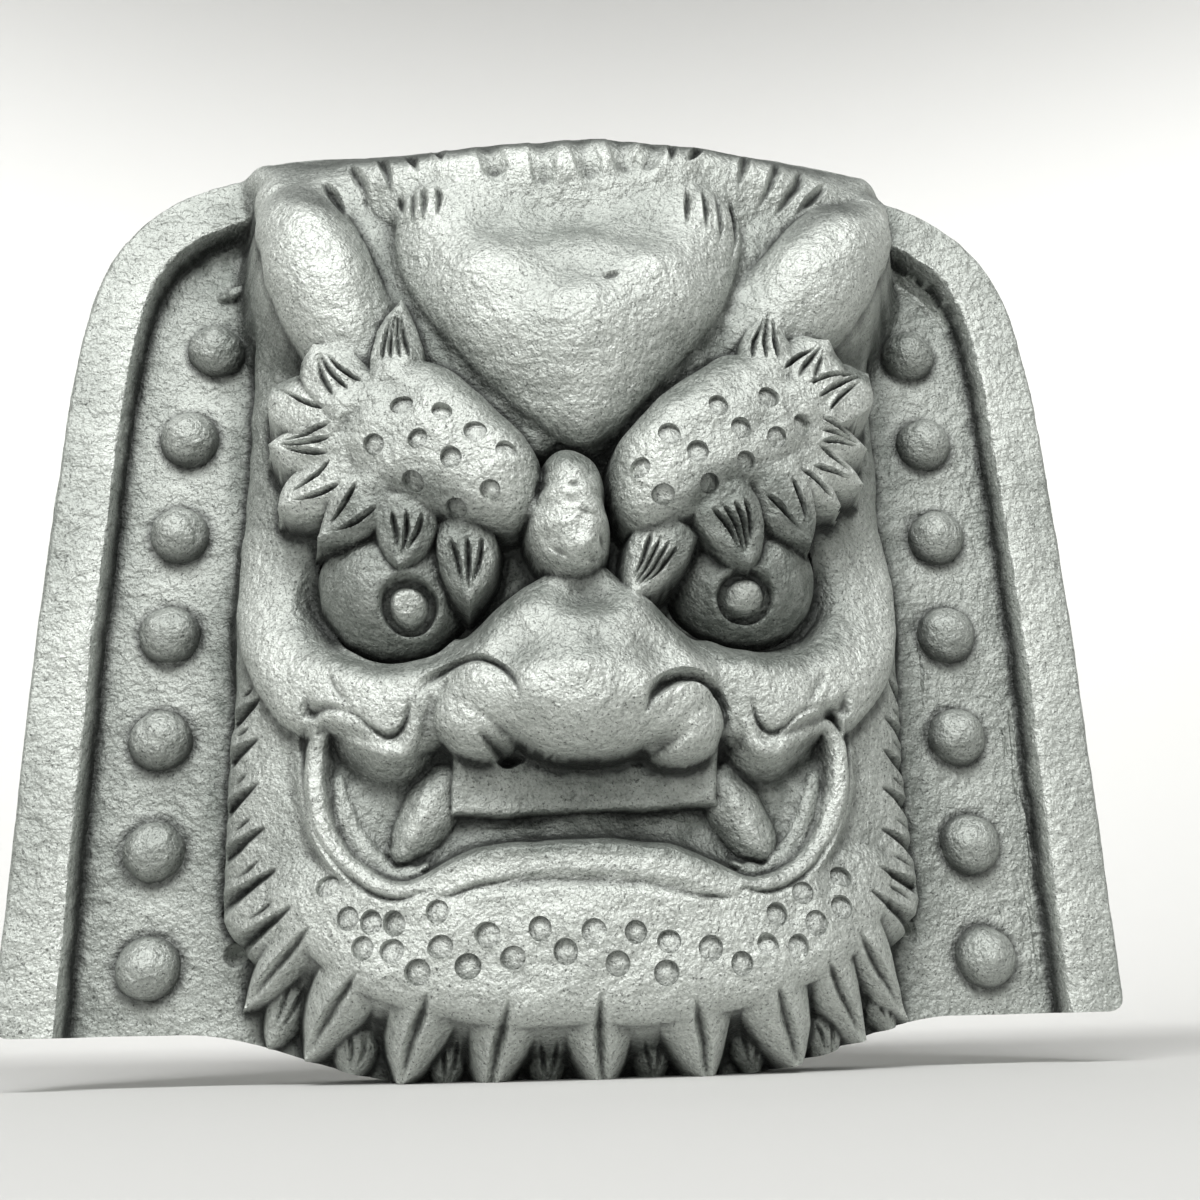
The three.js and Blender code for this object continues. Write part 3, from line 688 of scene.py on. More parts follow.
browShape = {
    "left": {
        "pad": [
            (-41, 191), (-32, 186), (-24, 177), (-15, 167), (-10.5, 159), (-10.4, 149), (-14.5, 141.8),
            (-22, 139), (-36, 141.5), (-48, 146), (-58, 150.5), (-65, 157), (-67.5, 166), (-67, 176),
            (-63, 186), (-52, 191)],
        "spots": [
            (-22, 158, 53), (-38, 166, 53), (-55, 170, 48), (-45, 185, 47), (-15, 147, 50),
            (-62, 160, 45), (-30, 145, 50), (-45, 150, 49), (-62, 180, 44)],
        # root, tip, width, height of the tip, how blunt it is, knife strokes
        "leaves": [
            ((-50, 181), (-49.7, 211.5), 16, 38, 2.0, 4), ((-60, 174), (-73.5, 196), 17, 39, 6.0, 3),
            ((-64, 171), (-86, 185), 17, 33, 7.0, 1), ((-63, 165), (-85, 167), 16, 33, 4.0, 3),
            ((-61, 158), (-81.5, 148.5), 15.5, 33, 4.0, 2), ((-53, 152), (-70.5, 138), 16, 37, 2.4, 2),
            ((-46, 148), (-47.8, 128.6), 17, 42, 2.4, 3), ((-31, 142), (-29.2, 119), 17.5, 41, 2.2, 3)],
    },
    "right": {
        "pad": [
            (42, 195.5), (32, 187.5), (23, 180), (15.5, 172), (9.8, 164), (8.6, 154), (11, 144.5),
            (16, 139.5), (28, 141), (42, 147), (54, 153), (63.5, 160), (68.5, 168), (69, 178),
            (63.5, 188), (53, 194.5)],
        "spots": [
            (20, 160, 53), (38, 168, 53), (55, 173, 49), (48, 188, 47), (15, 149, 50), (62, 165, 46),
            (30, 147, 50), (45, 153, 49), (62, 184, 45)],
        "leaves": [
            ((53, 184), (57.3, 212.5), 16, 38, 2.2, 3), ((60, 180), (73, 200), 18, 40, 7.0, 3),
            ((63, 176), (86, 191.5), 19, 35, 8.0, 3), ((64, 170), (84.5, 168.5), 13.5, 32, 3.0, 3),
            ((62, 164), (82.5, 156.5), 13, 32, 2.4, 2), ((58, 160), (74.6, 150), 12, 34, 2.2, 1),
            ((52, 157), (64, 137), 18.5, 39, 2.4, 2), ((38, 151), (45.8, 129.6), 19, 43, 2.6, 4),
            ((26, 142), (12.8, 119.6), 17, 41, 2.0, 4)],
    },
}


def shapeBrows(clay):
    for brow in (browShape["left"], browShape["right"]):
        addPillow(clay, brow["pad"], brow["spots"], drop=13, reach=13, blend=3.0, power=2.0, steep=7,
                  softness=9, ease=2.5)
        for root, tip, width, tipHeight, blunt, strokes in brow["leaves"]:
            addLeaf(clay, root, tip, width, tipHeight, strokes=strokes, start=0.22, depth=2.6, lineWidth=0.8,
                    camber=2.8, point=blunt, blend=1.2 + max(blunt - 4.5, 0))


chinShape = {
    "outline": [
        (-78, 56), (-62, 56), (-47, 56), (-36, 64), (-20, 68), (0, 69), (20, 68), (36, 64), (47, 56),
        (62, 56), (80, 58), (84, 46), (72, 30), (50, 19), (24, 14), (0, 13), (-24, 14), (-48, 19),
        (-68, 30), (-81, 44)],
    "spots": [
        (0, 38, 39), (-30, 37, 37.5), (30, 37, 37.5), (-54, 40, 31.5), (56, 40, 31.5), (-69, 46, 25),
        (71, 46, 25), (0, 22, 37), (-40, 25, 34), (40, 25, 34), (0, 56, 38), (-22, 54, 37), (22, 54, 37),
        (-42, 47, 34), (42, 47, 34), (-78, 50, 20), (80, 50, 20)],
}


def shapeChin(clay):
    addPillow(clay, chinShape["outline"], chinShape["spots"], drop=7, reach=10, blend=5, power=2.0,
              steep=1.8, ease=4, softness=9)


beardShape = {
    # root, tip, width, height of the tip
    "front": [
        ((-62, 46), (-87, 19), 18, 7), ((-51, 36), (-71, 6), 19.5, 10), ((-36, 31), (-47, -1), 21, 14),
        ((-18, 30), (-23.5, -4), 22, 16), ((2, 30), (5.6, -5), 22, 17), ((25, 29), (32.5, -4), 22, 16),
        ((44, 30), (57.5, -1), 20, 14), ((56, 37), (76, 6), 18, 10), ((65, 44), (89, 12), 17, 7)],
    # small leaves seen in the gaps, further back
    "back": [
        ((-72, 26), (-81, 9.5), 11, 4), ((-57, 14), (-60, 0), 11, 7), ((-34, 12), (-35, -4), 11, 10),
        ((-9, 11), (-9, -5), 11, 11), ((18, 11), (18.5, -5), 11, 11), ((44, 12), (46, -3), 11, 9),
        ((63, 14), (67, 0), 11, 6), ((79, 24), (85, 8), 11, 4)],
    "gougeHalfWidth": 1.8,
    "gougeDepth": 2.8,
    # share of the way, then half width and depth as shares of the two above
    "gougeProfile": [
        (0.30, 0.3, 0.2), (0.42, 0.8, 0.8), (0.62, 1.0, 1.0), (0.82, 0.8, 0.8), (0.95, 0.4, 0.3)],
}


def shapeBeard(clay):
    for root, tip, width, tipHeight in beardShape["back"]:
        addLeaf(clay, root, tip, width, tipHeight, rootHeight=tipHeight + 7, camber=2.0, steep=3, strokes=2,
                depth=1.2, spread=0.4)
    for root, tip, width, tipHeight in beardShape["front"]:
        addLeaf(clay, root, tip, width, tipHeight, camber=4.5, steep=3.5, blend=1.6, strokes=0, sag=1.6,
                point=1.7)
        profile = [(s, w * beardShape["gougeHalfWidth"], d * beardShape["gougeDepth"])
                   for s, w, d in beardShape["gougeProfile"]]
        cutGroove(clay, between(root, tip, profile), burr=0.1, sharp=0.7)


sideHairShape = {
    # each notch runs from a point on the cheek out to the edge of the face
    "left": [
        ((-86, 99), (-94, 95)), ((-86, 88.5), (-94.5, 84)), ((-85, 76.5), (-94.5, 71)),
        ((-83, 64), (-94, 58)), ((-80, 53), (-93, 46)), ((-75, 43), (-90, 34))],
    "right": [
        ((89, 105), (96, 101)), ((88, 94), (96.5, 89)), ((87, 84), (97, 79)), ((86, 73.5), (97, 68)),
        ((84, 62), (98, 56)), ((81, 52), (97, 46)), ((77, 45), (94, 36))],
    "halfWidth": 2.3,
    "depth": 5.5,
    "profile": [(0, 0.3, 0.2), (0.4, 0.7, 0.7), (0.8, 1.1, 1.0), (1.1, 1.3, 0.8)],
    "lineOffset": 5.2,       # a fine line is drawn above each notch
}


def shapeSideHair(clay):
    onFace = 1 - ramp(np.abs(clay.trueX), 93.5, 96)
    before = clay.h.copy()
    profile = [(s, w * sideHairShape["halfWidth"], d * sideHairShape["depth"])
               for s, w, d in sideHairShape["profile"]]
    for a, b in sideHairShape["left"] + sideHairShape["right"]:
        a, b = np.array(a, float), np.array(b, float)
        cutGroove(clay, between(a, b, profile), burr=0.1, sharp=0.8)
        middle = (a + b) / 2 + [0, sideHairShape["lineOffset"]]
        cutStroke(clay, middle - (b - a) * 0.2, middle + (b - a) * 0.35, width=0.7, depth=1.2)
    clay.h = before + (clay.h - before) * onFace


scarShape = {
    # scratches down the right channel: from, to and half width
    "scratches": [
        ((129.6, 102), (129.0, 64), 0.55), ((130.6, 78), (129.8, 34), 0.5),
        ((128.6, 52), (130.2, 18), 0.6), ((126.8, 96), (127.6, 80), 0.45),
        ((104.5, 121), (103.6, 96), 0.45)],
    "scratchDepth": 0.7,
    # scuffed clay by the lowest studs: place and reach
    "scuffs": [((121, 42), 9), ((103, 78), 7), ((124, 70), 6)],
    "scuffLumps": [(0.35, 2.6, 71), (0.2, 1.3, 72)],
    "tornCorner": [
        (102, 249.5, 1.4, 1.0), (108.5, 247.5, 2.4, 3.6), (114.5, 243, 2.8, 4.2), (120, 237.5, 2.4, 3.4),
        (124.5, 228, 1.5, 1.4)],
    "crumb": [(-108, 231.5, 1.0, 1.2), (-103.5, 233, 1.8, 3.2), (-99, 234.5, 1.2, 2.0)],
}


def scarChannels(clay):
    for a, b, width in scarShape["scratches"]:
        cutStroke(clay, a, b, width, scarShape["scratchDepth"], bow=0.02, burr=0.3)
    x, z = clay.trueX, clay.trueZ
    for at, size in scarShape["scuffs"]:
        near = np.exp(-((x - at[0]) ** 2 + (z - at[1]) ** 2) / size ** 2)
        clay.h += near * lumpSum(x, z, scarShape["scuffLumps"]) * (clay.h < 4)
    cutGroove(clay, scarShape["tornCorner"], burr=0.25, sharp=0.6)
    addRidge(clay, scarShape["crumb"], drop=1.5, blend=0.6)


clayLumps = {
    # height, size and seed of the lumps; the modelled clay is less even than the pressed slab
    "everywhere": [(0.26, 6, 21), (0.19, 2.8, 22), (0.10, 1.4, 23)],
    "face": [(0.50, 9, 24), (0.26, 4.2, 25)],
    "brows": [(0.45, 4.6, 26), (0.26, 2.2, 27)],
}


def roughenClay(clay):
    x, z = clay.trueX, clay.trueZ
    clay.h += lumpSum(x, z, clayLumps["everywhere"])
    onFace = ramp(clay.h, 16, 26)
    clay.h += onFace * lumpSum(x, z, clayLumps["face"])
    onBrows = onFace * np.exp(-((np.abs(x) - 48) / 34) ** 6 - ((z - 166) / 40) ** 6)
    clay.h += onBrows * lumpSum(x, z, clayLumps["brows"])


def carveTile(step):
    clay = ClayBlock(step)
    for shape in (shapeRim, shapeFaceGround, shapeCrown, shapeHorns, shapeForehead, shapeCheeks, shapeChin,
                  shapeMouth, shapeLowerLip, shapeTeeth, shapeNose, shapeEyes, rollCrown, marksOnCrown,
                  shapeBeard, shapeSideHair, shapeBrows, shapeNub, scarChannels, roughenClay):
        shape(clay)
    return clay


def addObject(name, data):
    thing = bpy.data.objects.new(name, data)
    bpy.context.scene.collection.objects.link(thing)
    return thing


def newMeshObject(name, vertices, faces):
    mesh = bpy.data.meshes.new(name)
    mesh.from_pydata([tuple(v) for v in vertices], [], faces)
    mesh.update()
    return addObject(name, mesh)


def gridMesh(name, front, back):
    # two matching grids of points, joined round their edges into one closed block
    rows, columns = front.shape[:2]
    count = rows * columns
    points = np.vstack([front.reshape(-1, 3), back.reshape(-1, 3)])
    index = np.arange(count).reshape(rows, columns)
    corners = [index[:-1, :-1], index[:-1, 1:], index[1:, 1:], index[1:, :-1]]
    frontFaces = np.stack(corners, -1).reshape(-1, 4)
    ring = np.concatenate([index[0, :], index[1:, -1], index[-1, -2::-1], index[-2:0:-1, 0]])
    following = np.roll(ring, -1)
    sides = np.stack([ring, ring + count, following + count, following], -1)
    faces = np.vstack([frontFaces, frontFaces[:, ::-1] + count, sides]).astype(np.int32)
    mesh = bpy.data.meshes.new(name)
    mesh.vertices.add(len(points))
    mesh.vertices.foreach_set("co", points.astype(np.float32).ravel())
    mesh.loops.add(faces.size)
    mesh.loops.foreach_set("vertex_index", faces.ravel())
    mesh.polygons.add(len(faces))
    mesh.polygons.foreach_set("loop_start", np.arange(0, faces.size, 4, dtype=np.int32))
    mesh.update(calc_edges=True)
    mesh.validate()
    return addObject(name, mesh)


def evaluatedMesh(thing):
    bpy.context.view_layer.update()
    return bpy.data.meshes.new_from_object(thing.evaluated_get(bpy.context.evaluated_depsgraph_get()))


def settle(thing):
    # bakes the modifiers into a plain mesh and drops them
    mesh = evaluatedMesh(thing)
    thing.modifiers.clear()
    old, thing.data = thing.data, mesh
    bpy.data.meshes.remove(old)


def cutOrJoin(thing, other, operation):
    bpy.context.view_layer.update()
    boolean = thing.modifiers.new("boolean", "BOOLEAN")
    boolean.operation = operation
    boolean.solver = "MANIFOLD"
    boolean.object = other
    settle(thing)
    bpy.data.objects.remove(other)


def faceOutwards(thing):
    shape = bmesh.new()
    shape.from_mesh(thing.data)
    bmesh.ops.recalc_face_normals(shape, faces=shape.faces)
    if shape.calc_volume(signed=True) < 0:
        bmesh.ops.reverse_faces(shape, faces=shape.faces)
    shape.to_mesh(thing.data)
    shape.free()


blockShape = {
    "trianglesKept": 156000,
    "spareBehind": 4.0,      # mm of clay behind the back face, trimmed off with the outline
    "sideWaver": 0.25,       # mm that the cut sides wander inwards
    "sideLump": 9.0,
    "backEdgeRound": 1.6,
    "cutterFrontY": -60.0,
    "cutterSpacing": 2.5,
    "sideLevels": [0, 8, 14, 20, 26, 32],
}


def clayBlock(clay):
    x, z = clay.trueX * mm, clay.trueZ * mm
    front = np.stack([x, (tileSize["channelFloorY"] - clay.h) * mm, z], -1)
    back = np.stack([x, np.full_like(x, (tileSize["backY"] + blockShape["spareBehind"]) * mm), z], -1)
    block = gridMesh("onigawaraTileClay", front, back)
    faceOutwards(block)
    thin = block.modifiers.new("thin", "DECIMATE")
    thin.ratio = blockShape["trianglesKept"] / (2 * len(block.data.polygons))
    settle(block)
    return block


def outlinePrism():
    # the slab's outline as a closed ring of walls, wavering a little and rounded at the back
    ring, _ = tileOutline()
    steps = np.hypot(*(np.roll(ring, -1, 0) - ring).T)
    dense = []
    for a, b, length in zip(ring, np.roll(ring, -1, 0), steps):
        n = max(int(round(length / blockShape["cutterSpacing"])), 1)
        dense += [a + (b - a) * k / n for k in range(n)]
    dense = np.array(dense)
    along = np.roll(dense, -1, 0) - np.roll(dense, 1, 0)
    inward = np.stack([-along[:, 1], along[:, 0]], -1)
    inward /= np.hypot(*inward.T)[:, None]
    middle = dense.mean(0)
    inward *= np.sign(((middle - dense) * inward).sum(1))[:, None]
    backY, r = tileSize["backY"], blockShape["backEdgeRound"]
    levels = [(y, 0) for y in [blockShape["cutterFrontY"], *blockShape["sideLevels"], backY - r]]
    levels += [(backY - 0.3 * r, 0.3 * r), (backY, r)]
    onFloor = dense[:, 1] < 0.5
    vertices, faces = [], []
    n = len(dense)
    for k, (y, inset) in enumerate(levels):
        unevenness = lumps(dense.sum(1) * 1.3, np.full(n, y * 2.0), blockShape["sideLump"], 41)
        waver = np.where(onFloor, 0, blockShape["sideWaver"] * (0.5 + 0.5 * unevenness))
        for p, way, w in zip(dense, inward, waver):
            q = p + way * (w + inset)
            vertices.append((q[0] * mm, y * mm, q[1] * mm))
        if k:
            for i in range(n):
                j = (i + 1) % n
                faces.append(((k - 1) * n + i, (k - 1) * n + j, k * n + j, k * n + i))
    faces.append(tuple(range(n)))
    faces.append(tuple(reversed(range((len(levels) - 1) * n, len(levels) * n))))
    prism = newMeshObject("outlinePrism", vertices, faces)
    faceOutwards(prism)
    return prism


hollowShape = {
    "halfWidth": 80.0,
    "bottom": 34.0,
    "top": 236.0,
    "depth": 20.0,
    "wallSlope": 14.0,
    "cornerRadius": 34.0,
    "domes": [(0, 196, 46), (0, 102, 44)],     # x, z and radius of the deeper parts, behind the thick clay
    "domeDepth": 12,
    "scoopDepth": 1.3,       # the finger scoops left in the clay
    "scoopSpacing": 14.0,
    "margin": 6,
    "gridStep": 2.0,
}


def backHollow():
    # scooped out by hand so that the thick clay fires evenly
    half, bottom, top = hollowShape["halfWidth"], hollowShape["bottom"], hollowShape["top"]
    step, margin, r = hollowShape["gridStep"], hollowShape["margin"], hollowShape["cornerRadius"]
    x, z = np.meshgrid(np.arange(-half - margin, half + margin + 0.01, step),
                       np.arange(bottom - margin, top + margin + 0.01, step))
    dx = np.abs(x) - (half - r)
    dz = np.abs(z - (bottom + top) / 2) - ((top - bottom) / 2 - r)
    outside = np.hypot(np.clip(dx, 0, None), np.clip(dz, 0, None)) + np.minimum(np.maximum(dx, dz), 0) - r
    outside += 0.8 * lumps(x, z, 24, 51)
    depth = hollowShape["depth"] * roundOff(np.clip(1 + outside / hollowShape["wallSlope"], 0, 1), 2.0)
    depth = hollowShape["depth"] - depth
    for domeX, domeZ, radius in hollowShape["domes"]:
        s = np.hypot(x - domeX, z - domeZ) / radius
        depth += hollowShape["domeDepth"] * np.clip(1 - s * s, 0, 1) ** 1.2
    scoops = np.cos((x * 0.45 + z) / hollowShape["scoopSpacing"] * 2 * math.pi + 1.6 * lumps(x, z, 30, 52))
    inside = ramp(-outside, 2, 16)
    depth -= inside * hollowShape["scoopDepth"] * (0.5 + 0.5 * scoops) ** 2
    depth += inside * 0.35 * lumps(x, z, 5, 53)
    depth = np.where(outside < 0, np.maximum(depth, 0.05), -2.0)
    front = np.stack([x, tileSize["backY"] - depth, z], -1) * mm
    back = np.stack([x, np.full_like(x, tileSize["backY"] + margin), z], -1) * mm
    hollow = gridMesh("backHollow", front, back)
    faceOutwards(hollow)
    return hollow


def addNode(tree, kind, settings=None, links=None):
    # settings go to the node's own options or its inputs; a link from a node means its first output
    node = tree.nodes.new(kind)
    for key, value in (settings or {}).items():
        if isinstance(key, str) and hasattr(node, key):
            setattr(node, key, value)
        else:
            node.inputs[key].default_value = value
    for key, source in (links or {}).items():
        start = source.outputs[0] if isinstance(source, bpy.types.Node) else source
        tree.links.new(start, node.inputs[key])
    return node


def newGeometryTree(name, inputs):
    kinds = {int: "NodeSocketInt", float: "NodeSocketFloat", type(None): "NodeSocketObject"}
    tree = bpy.data.node_groups.new(name, "GeometryNodeTree")
    tree.interface.new_socket("Geometry", in_out="INPUT", socket_type="NodeSocketGeometry")
    for label, value in inputs.items():
        socket = tree.interface.new_socket(label, in_out="INPUT", socket_type=kinds[type(value)])
        if value is not None:
            socket.default_value = value
    tree.interface.new_socket("Geometry", in_out="OUTPUT", socket_type="NodeSocketGeometry")
    return tree, addNode(tree, "NodeGroupInput").outputs


def randomVector(tree, low, high, seed):
    return addNode(tree, "FunctionNodeRandomValue", {"data_type": "FLOAT_VECTOR", 0: low, 1: high},
                   {"Seed": seed})


def scattered(tree, points, shape, turn, low, high, seed):
    # copies of one shape on points, each of its own size, made real
    grow = randomVector(tree, low, high, seed)
    copies = addNode(tree, "GeometryNodeInstanceOnPoints",
                     links={"Points": points, "Instance": shape, "Rotation": turn, "Scale": grow})
    return addNode(tree, "GeometryNodeRealizeInstances", links={"Geometry": copies})


def finishTree(tree, geometry, clayMaterial):
    coated = addNode(tree, "GeometryNodeSetMaterial", {"Material": clayMaterial}, {"Geometry": geometry})
    addNode(tree, "NodeGroupOutput", links={"Geometry": coated})
    return tree


def runTree(thing, tree, values):
    # runs the tree on a mesh or a curve and keeps what it makes as a plain mesh
    modifier = thing.modifiers.new(tree.name, "NODES")
    modifier.node_group = tree
    for item in tree.interface.items_tree:
        if item.item_type == "SOCKET" and item.in_out == "INPUT" and item.name in values:
            modifier[item.identifier] = values[item.name]
    made = addObject(tree.name, evaluatedMesh(thing))
    bpy.data.objects.remove(thing)
    return made


studShape = {
    "count": 7,
    "radius": 8.6,
    "height": 8.4,
    "segments": 36,
    "rings": 20,
    # each stud was rolled and pressed on by hand, so none is quite alike
    "turn": (0.1, 3.1, 0.1),     # most it is turned either way, in radians
    "smallest": (0.95, 0.95, 0.96),
    "largest": (1.03, 1.05, 1.03),
    "dentDepth": 1.9,
    "dentScale": 160.0,
    "leftPath": [(-113.7, 30), (-115.2, 90), (-114.4, 154), (-113.2, 188), (-107.7, 213)],
    "rightPath": [(114.5, 28.5), (113.0, 90), (113.4, 155), (112.5, 188), (110.5, 216)],
    "leftSeed": 4,
    "rightSeed": 11,
}


def studTree(clayMaterial):
    tree, given = newGeometryTree("studRow", {
        "Count": studShape["count"], "Radius": studShape["radius"] * mm,
        "Height": studShape["height"] * mm, "Seed": 0})
    row = addNode(tree, "GeometryNodeResampleCurve",
                  links={"Curve": given["Geometry"], "Count": given["Count"]})
    ball = addNode(tree, "GeometryNodeMeshUVSphere",
                   {"Segments": studShape["segments"], "Rings": studShape["rings"], "Radius": 1.0})
    size = addNode(tree, "ShaderNodeCombineXYZ",
                   links={"X": given["Radius"], "Y": given["Height"], "Z": given["Radius"]})
    pressed = addNode(tree, "GeometryNodeTransform", links={"Geometry": ball, "Scale": size})
    turn = randomVector(tree, [-v for v in studShape["turn"]], studShape["turn"], given["Seed"])
    studs = scattered(tree, row, pressed, turn, studShape["smallest"], studShape["largest"], given["Seed"])
    lump = addNode(tree, "ShaderNodeTexNoise", {"Scale": studShape["dentScale"], "Detail": 2.0})
    centred = addNode(tree, "ShaderNodeVectorMath", {"operation": "SUBTRACT", 1: (0.5, 0.5, 0.5)},
                      {0: lump.outputs["Color"]})
    offset = addNode(tree, "ShaderNodeVectorMath",
                     {"operation": "SCALE", "Scale": studShape["dentDepth"] * mm}, {0: centred})
    dented = addNode(tree, "GeometryNodeSetPosition", links={"Geometry": studs, "Offset": offset})
    return finishTree(tree, dented, clayMaterial)


def studRow(side, clayMaterial):
    line = smoothCurve(studShape[side + "Path"], perSpan=6)
    curve = bpy.data.curves.new("studLine", "CURVE")
    curve.dimensions = "3D"
    spline = curve.splines.new("POLY")
    spline.points.add(len(line) - 1)
    for point, (x, z) in zip(spline.points, line):
        point.co = (x * mm, tileSize["channelFloorY"] * mm, z * mm, 1)
    return runTree(addObject("studLine", curve), studTree(clayMaterial), {"Seed": studShape[side + "Seed"]})


punchShape = {
    "radius": 3.15,
    "taper": 0.06,           # how much wider the tube is at its mouth and narrower at its foot
    "sides": 26,
    "depth": 1.35,
    "core": 0.14,            # how far the middle stands up, as a share of the cutter's length
    "lean": 0.11,            # the tube was leaned, so each ring is deeper at its upper left
    "smallest": (0.9, 0.9, 0.75),
    "largest": (1.08, 1.08, 1.2),
    "seed": 9,
    "rayStart": -90.0,
    "rayLength": 200.0,
    "leftBrow": [
        (-47.8, 172.5), (-36.9, 169.5), (-28.1, 163.8), (-43.3, 161.8), (-19.6, 158), (-34.4, 156.2),
        (-55.1, 161.6), (-44.4, 151), (-24.1, 147.5), (-33, 144)],
    "rightBrow": [
        (37.8, 172.7), (44, 166.5), (52.6, 176.9), (23.8, 163.5), (31.5, 158.9), (54.2, 165), (62.1, 170),
        (15.6, 154.2), (21.8, 146.8), (34.6, 150.7), (45.1, 157.2)],
    # the chin's punches stand in rough rows
    "chinRows": [
        [(-59.3, 39.9), (-53.2, 38.6), (-36.8, 40.7), (-11.5, 36), (1.8, 35), (12.3, 34.8)],
        [(-64.9, 48.2), (-47.4, 38.2), (-55.2, 32.5), (-47.8, 31.6), (-35.9, 32.2), (-24.3, 34.8)],
        [(-41.4, 26.4), (-29.1, 27.5), (-18.2, 29.2), (-5.2, 30.4), (7.6, 27.3), (20.6, 32.4)],
        [(19.7, 24.9), (31.1, 30.6), (39, 26.8), (46, 31.3), (54.2, 30.6), (49.1, 38.8)],
        [(59.6, 36.6), (56.6, 44.2), (67.4, 40.6), (68.3, 48.6)]],
}


def times(tree, value, factor):
    return addNode(tree, "ShaderNodeMath", {"operation": "MULTIPLY", 1: factor}, {0: value})


def punchCutter(tree, given):
    # the tube is hollow, so it leaves a ring and the middle of its floor stays up
    taper = punchShape["taper"]
    tube = addNode(tree, "GeometryNodeMeshCone",
                   {"fill_type": "TRIANGLE_FAN", "Vertices": punchShape["sides"], "Depth": 1.0},
                   {"Radius Top": times(tree, given["Radius"], 1 + taper),
                    "Radius Bottom": times(tree, given["Radius"], 1 - taper)})
    spot = addNode(tree, "GeometryNodeInputPosition")
    apart = addNode(tree, "ShaderNodeSeparateXYZ", links={"Vector": spot}).outputs
    flat = addNode(tree, "ShaderNodeCombineXYZ", links={"X": apart["X"], "Y": apart["Y"]})
    fromAxis = addNode(tree, "ShaderNodeVectorMath", {"operation": "LENGTH"}, {0: flat}).outputs["Value"]
    onAxis = addNode(tree, "FunctionNodeCompare", {"operation": "LESS_THAN", "B": 0.1 * mm}, {"A": fromAxis})
    atFloor = addNode(tree, "FunctionNodeCompare", {"operation": "LESS_THAN", "B": 0.5}, {"A": apart["Z"]})
    middle = addNode(tree, "FunctionNodeBooleanMath", {"operation": "AND"}, {0: onAxis, 1: atFloor})
    ringed = addNode(tree, "GeometryNodeSetPosition", {"Offset": (0, 0, punchShape["core"])},
                     {"Geometry": tube, "Selection": middle})
    tall = addNode(tree, "ShaderNodeCombineXYZ", {"X": 1.0, "Y": 1.0},
                   {"Z": times(tree, given["Depth"], 3.0)})
    drop = addNode(tree, "ShaderNodeCombineXYZ", links={"Z": times(tree, given["Depth"], -1.0)})
    return addNode(tree, "GeometryNodeTransform",
                   links={"Geometry": ringed, "Scale": tall, "Translation": drop})


def punchTree(clayMaterial):
    tree, given = newGeometryTree("punchMarks", {
        "Clay": None, "Radius": punchShape["radius"] * mm, "Depth": punchShape["depth"] * mm,
        "Lean": punchShape["lean"], "Seed": punchShape["seed"]})
    clay = addNode(tree, "GeometryNodeObjectInfo", {"transform_space": "RELATIVE"},
                   {"Object": given["Clay"]})
    # find the clay in front of each point, looking into the tile
    found = addNode(tree, "GeometryNodeRaycast",
                    {"Ray Direction": (0, 1, 0), "Ray Length": punchShape["rayLength"] * mm},
                    {"Target Geometry": clay.outputs["Geometry"],
                     "Source Position": addNode(tree, "GeometryNodeInputPosition")}).outputs
    lean = addNode(tree, "ShaderNodeVectorMath", {"operation": "SCALE", 0: (-1.0, 0.0, 1.0)},
                   {"Scale": given["Lean"]})
    way = addNode(tree, "ShaderNodeVectorMath", {"operation": "ADD"}, {0: found["Hit Normal"], 1: lean})
    kept = addNode(tree, "GeometryNodeStoreNamedAttribute", {"data_type": "FLOAT_VECTOR", "Name": "way"},
                   {"Geometry": given["Geometry"], "Value": way})
    moved = addNode(tree, "GeometryNodeSetPosition",
                    links={"Geometry": kept, "Position": found["Hit Position"]})
    points = addNode(tree, "GeometryNodeMeshToPoints", links={"Mesh": moved})
    stored = addNode(tree, "GeometryNodeInputNamedAttribute", {"data_type": "FLOAT_VECTOR", "Name": "way"})
    facing = addNode(tree, "FunctionNodeAlignRotationToVector", {"axis": "Z"},
                     {"Vector": stored.outputs["Attribute"]})
    marks = scattered(tree, points, punchCutter(tree, given), facing, punchShape["smallest"],
                      punchShape["largest"], given["Seed"])
    return finishTree(tree, marks, clayMaterial)


def punchSpots():
    return punchShape["leftBrow"] + punchShape["rightBrow"] + sum(punchShape["chinRows"], [])


def punchMarks(clay, clayMaterial):
    starts = [(x * mm, punchShape["rayStart"] * mm, z * mm) for x, z in punchSpots()]
    return runTree(newMeshObject("punchSpots", starts, []), punchTree(clayMaterial), {"Clay": clay})


def linear(hexColor):
    # sRGB hex to the linear colour that shaders want
    values = []
    for k in (0, 2, 4):
        c = int(hexColor.lstrip("#")[k:k + 2], 16) / 255
        values.append(c / 12.92 if c <= 0.04045 else ((c + 0.055) / 1.055) ** 2.4)
    return (*values, 1.0)


def noise(tree, here, size, roughness):
    # lumps of the given size in mm
    return addNode(tree, "ShaderNodeTexNoise",
                   {"Scale": 1 / mm / size, "Detail": 2.0, "Roughness": roughness}, {"Vector": here})


def mapped(tree, value, low, high, least, most):
    return addNode(tree, "ShaderNodeMapRange",
                   {"From Min": low, "From Max": high, "To Min": least, "To Max": most}, {"Value": value})


def overlaid(tree, amount, under, over):
    # one colour laid over another; the lower one may come from a node
    mix = addNode(tree, "ShaderNodeMix", {"data_type": "RGBA", 7: linear(over)}, {0: amount})
    if isinstance(under, str):
        mix.inputs[6].default_value = linear(under)
    else:
        tree.links.new(under, mix.inputs[6])
    return mix.outputs[2]


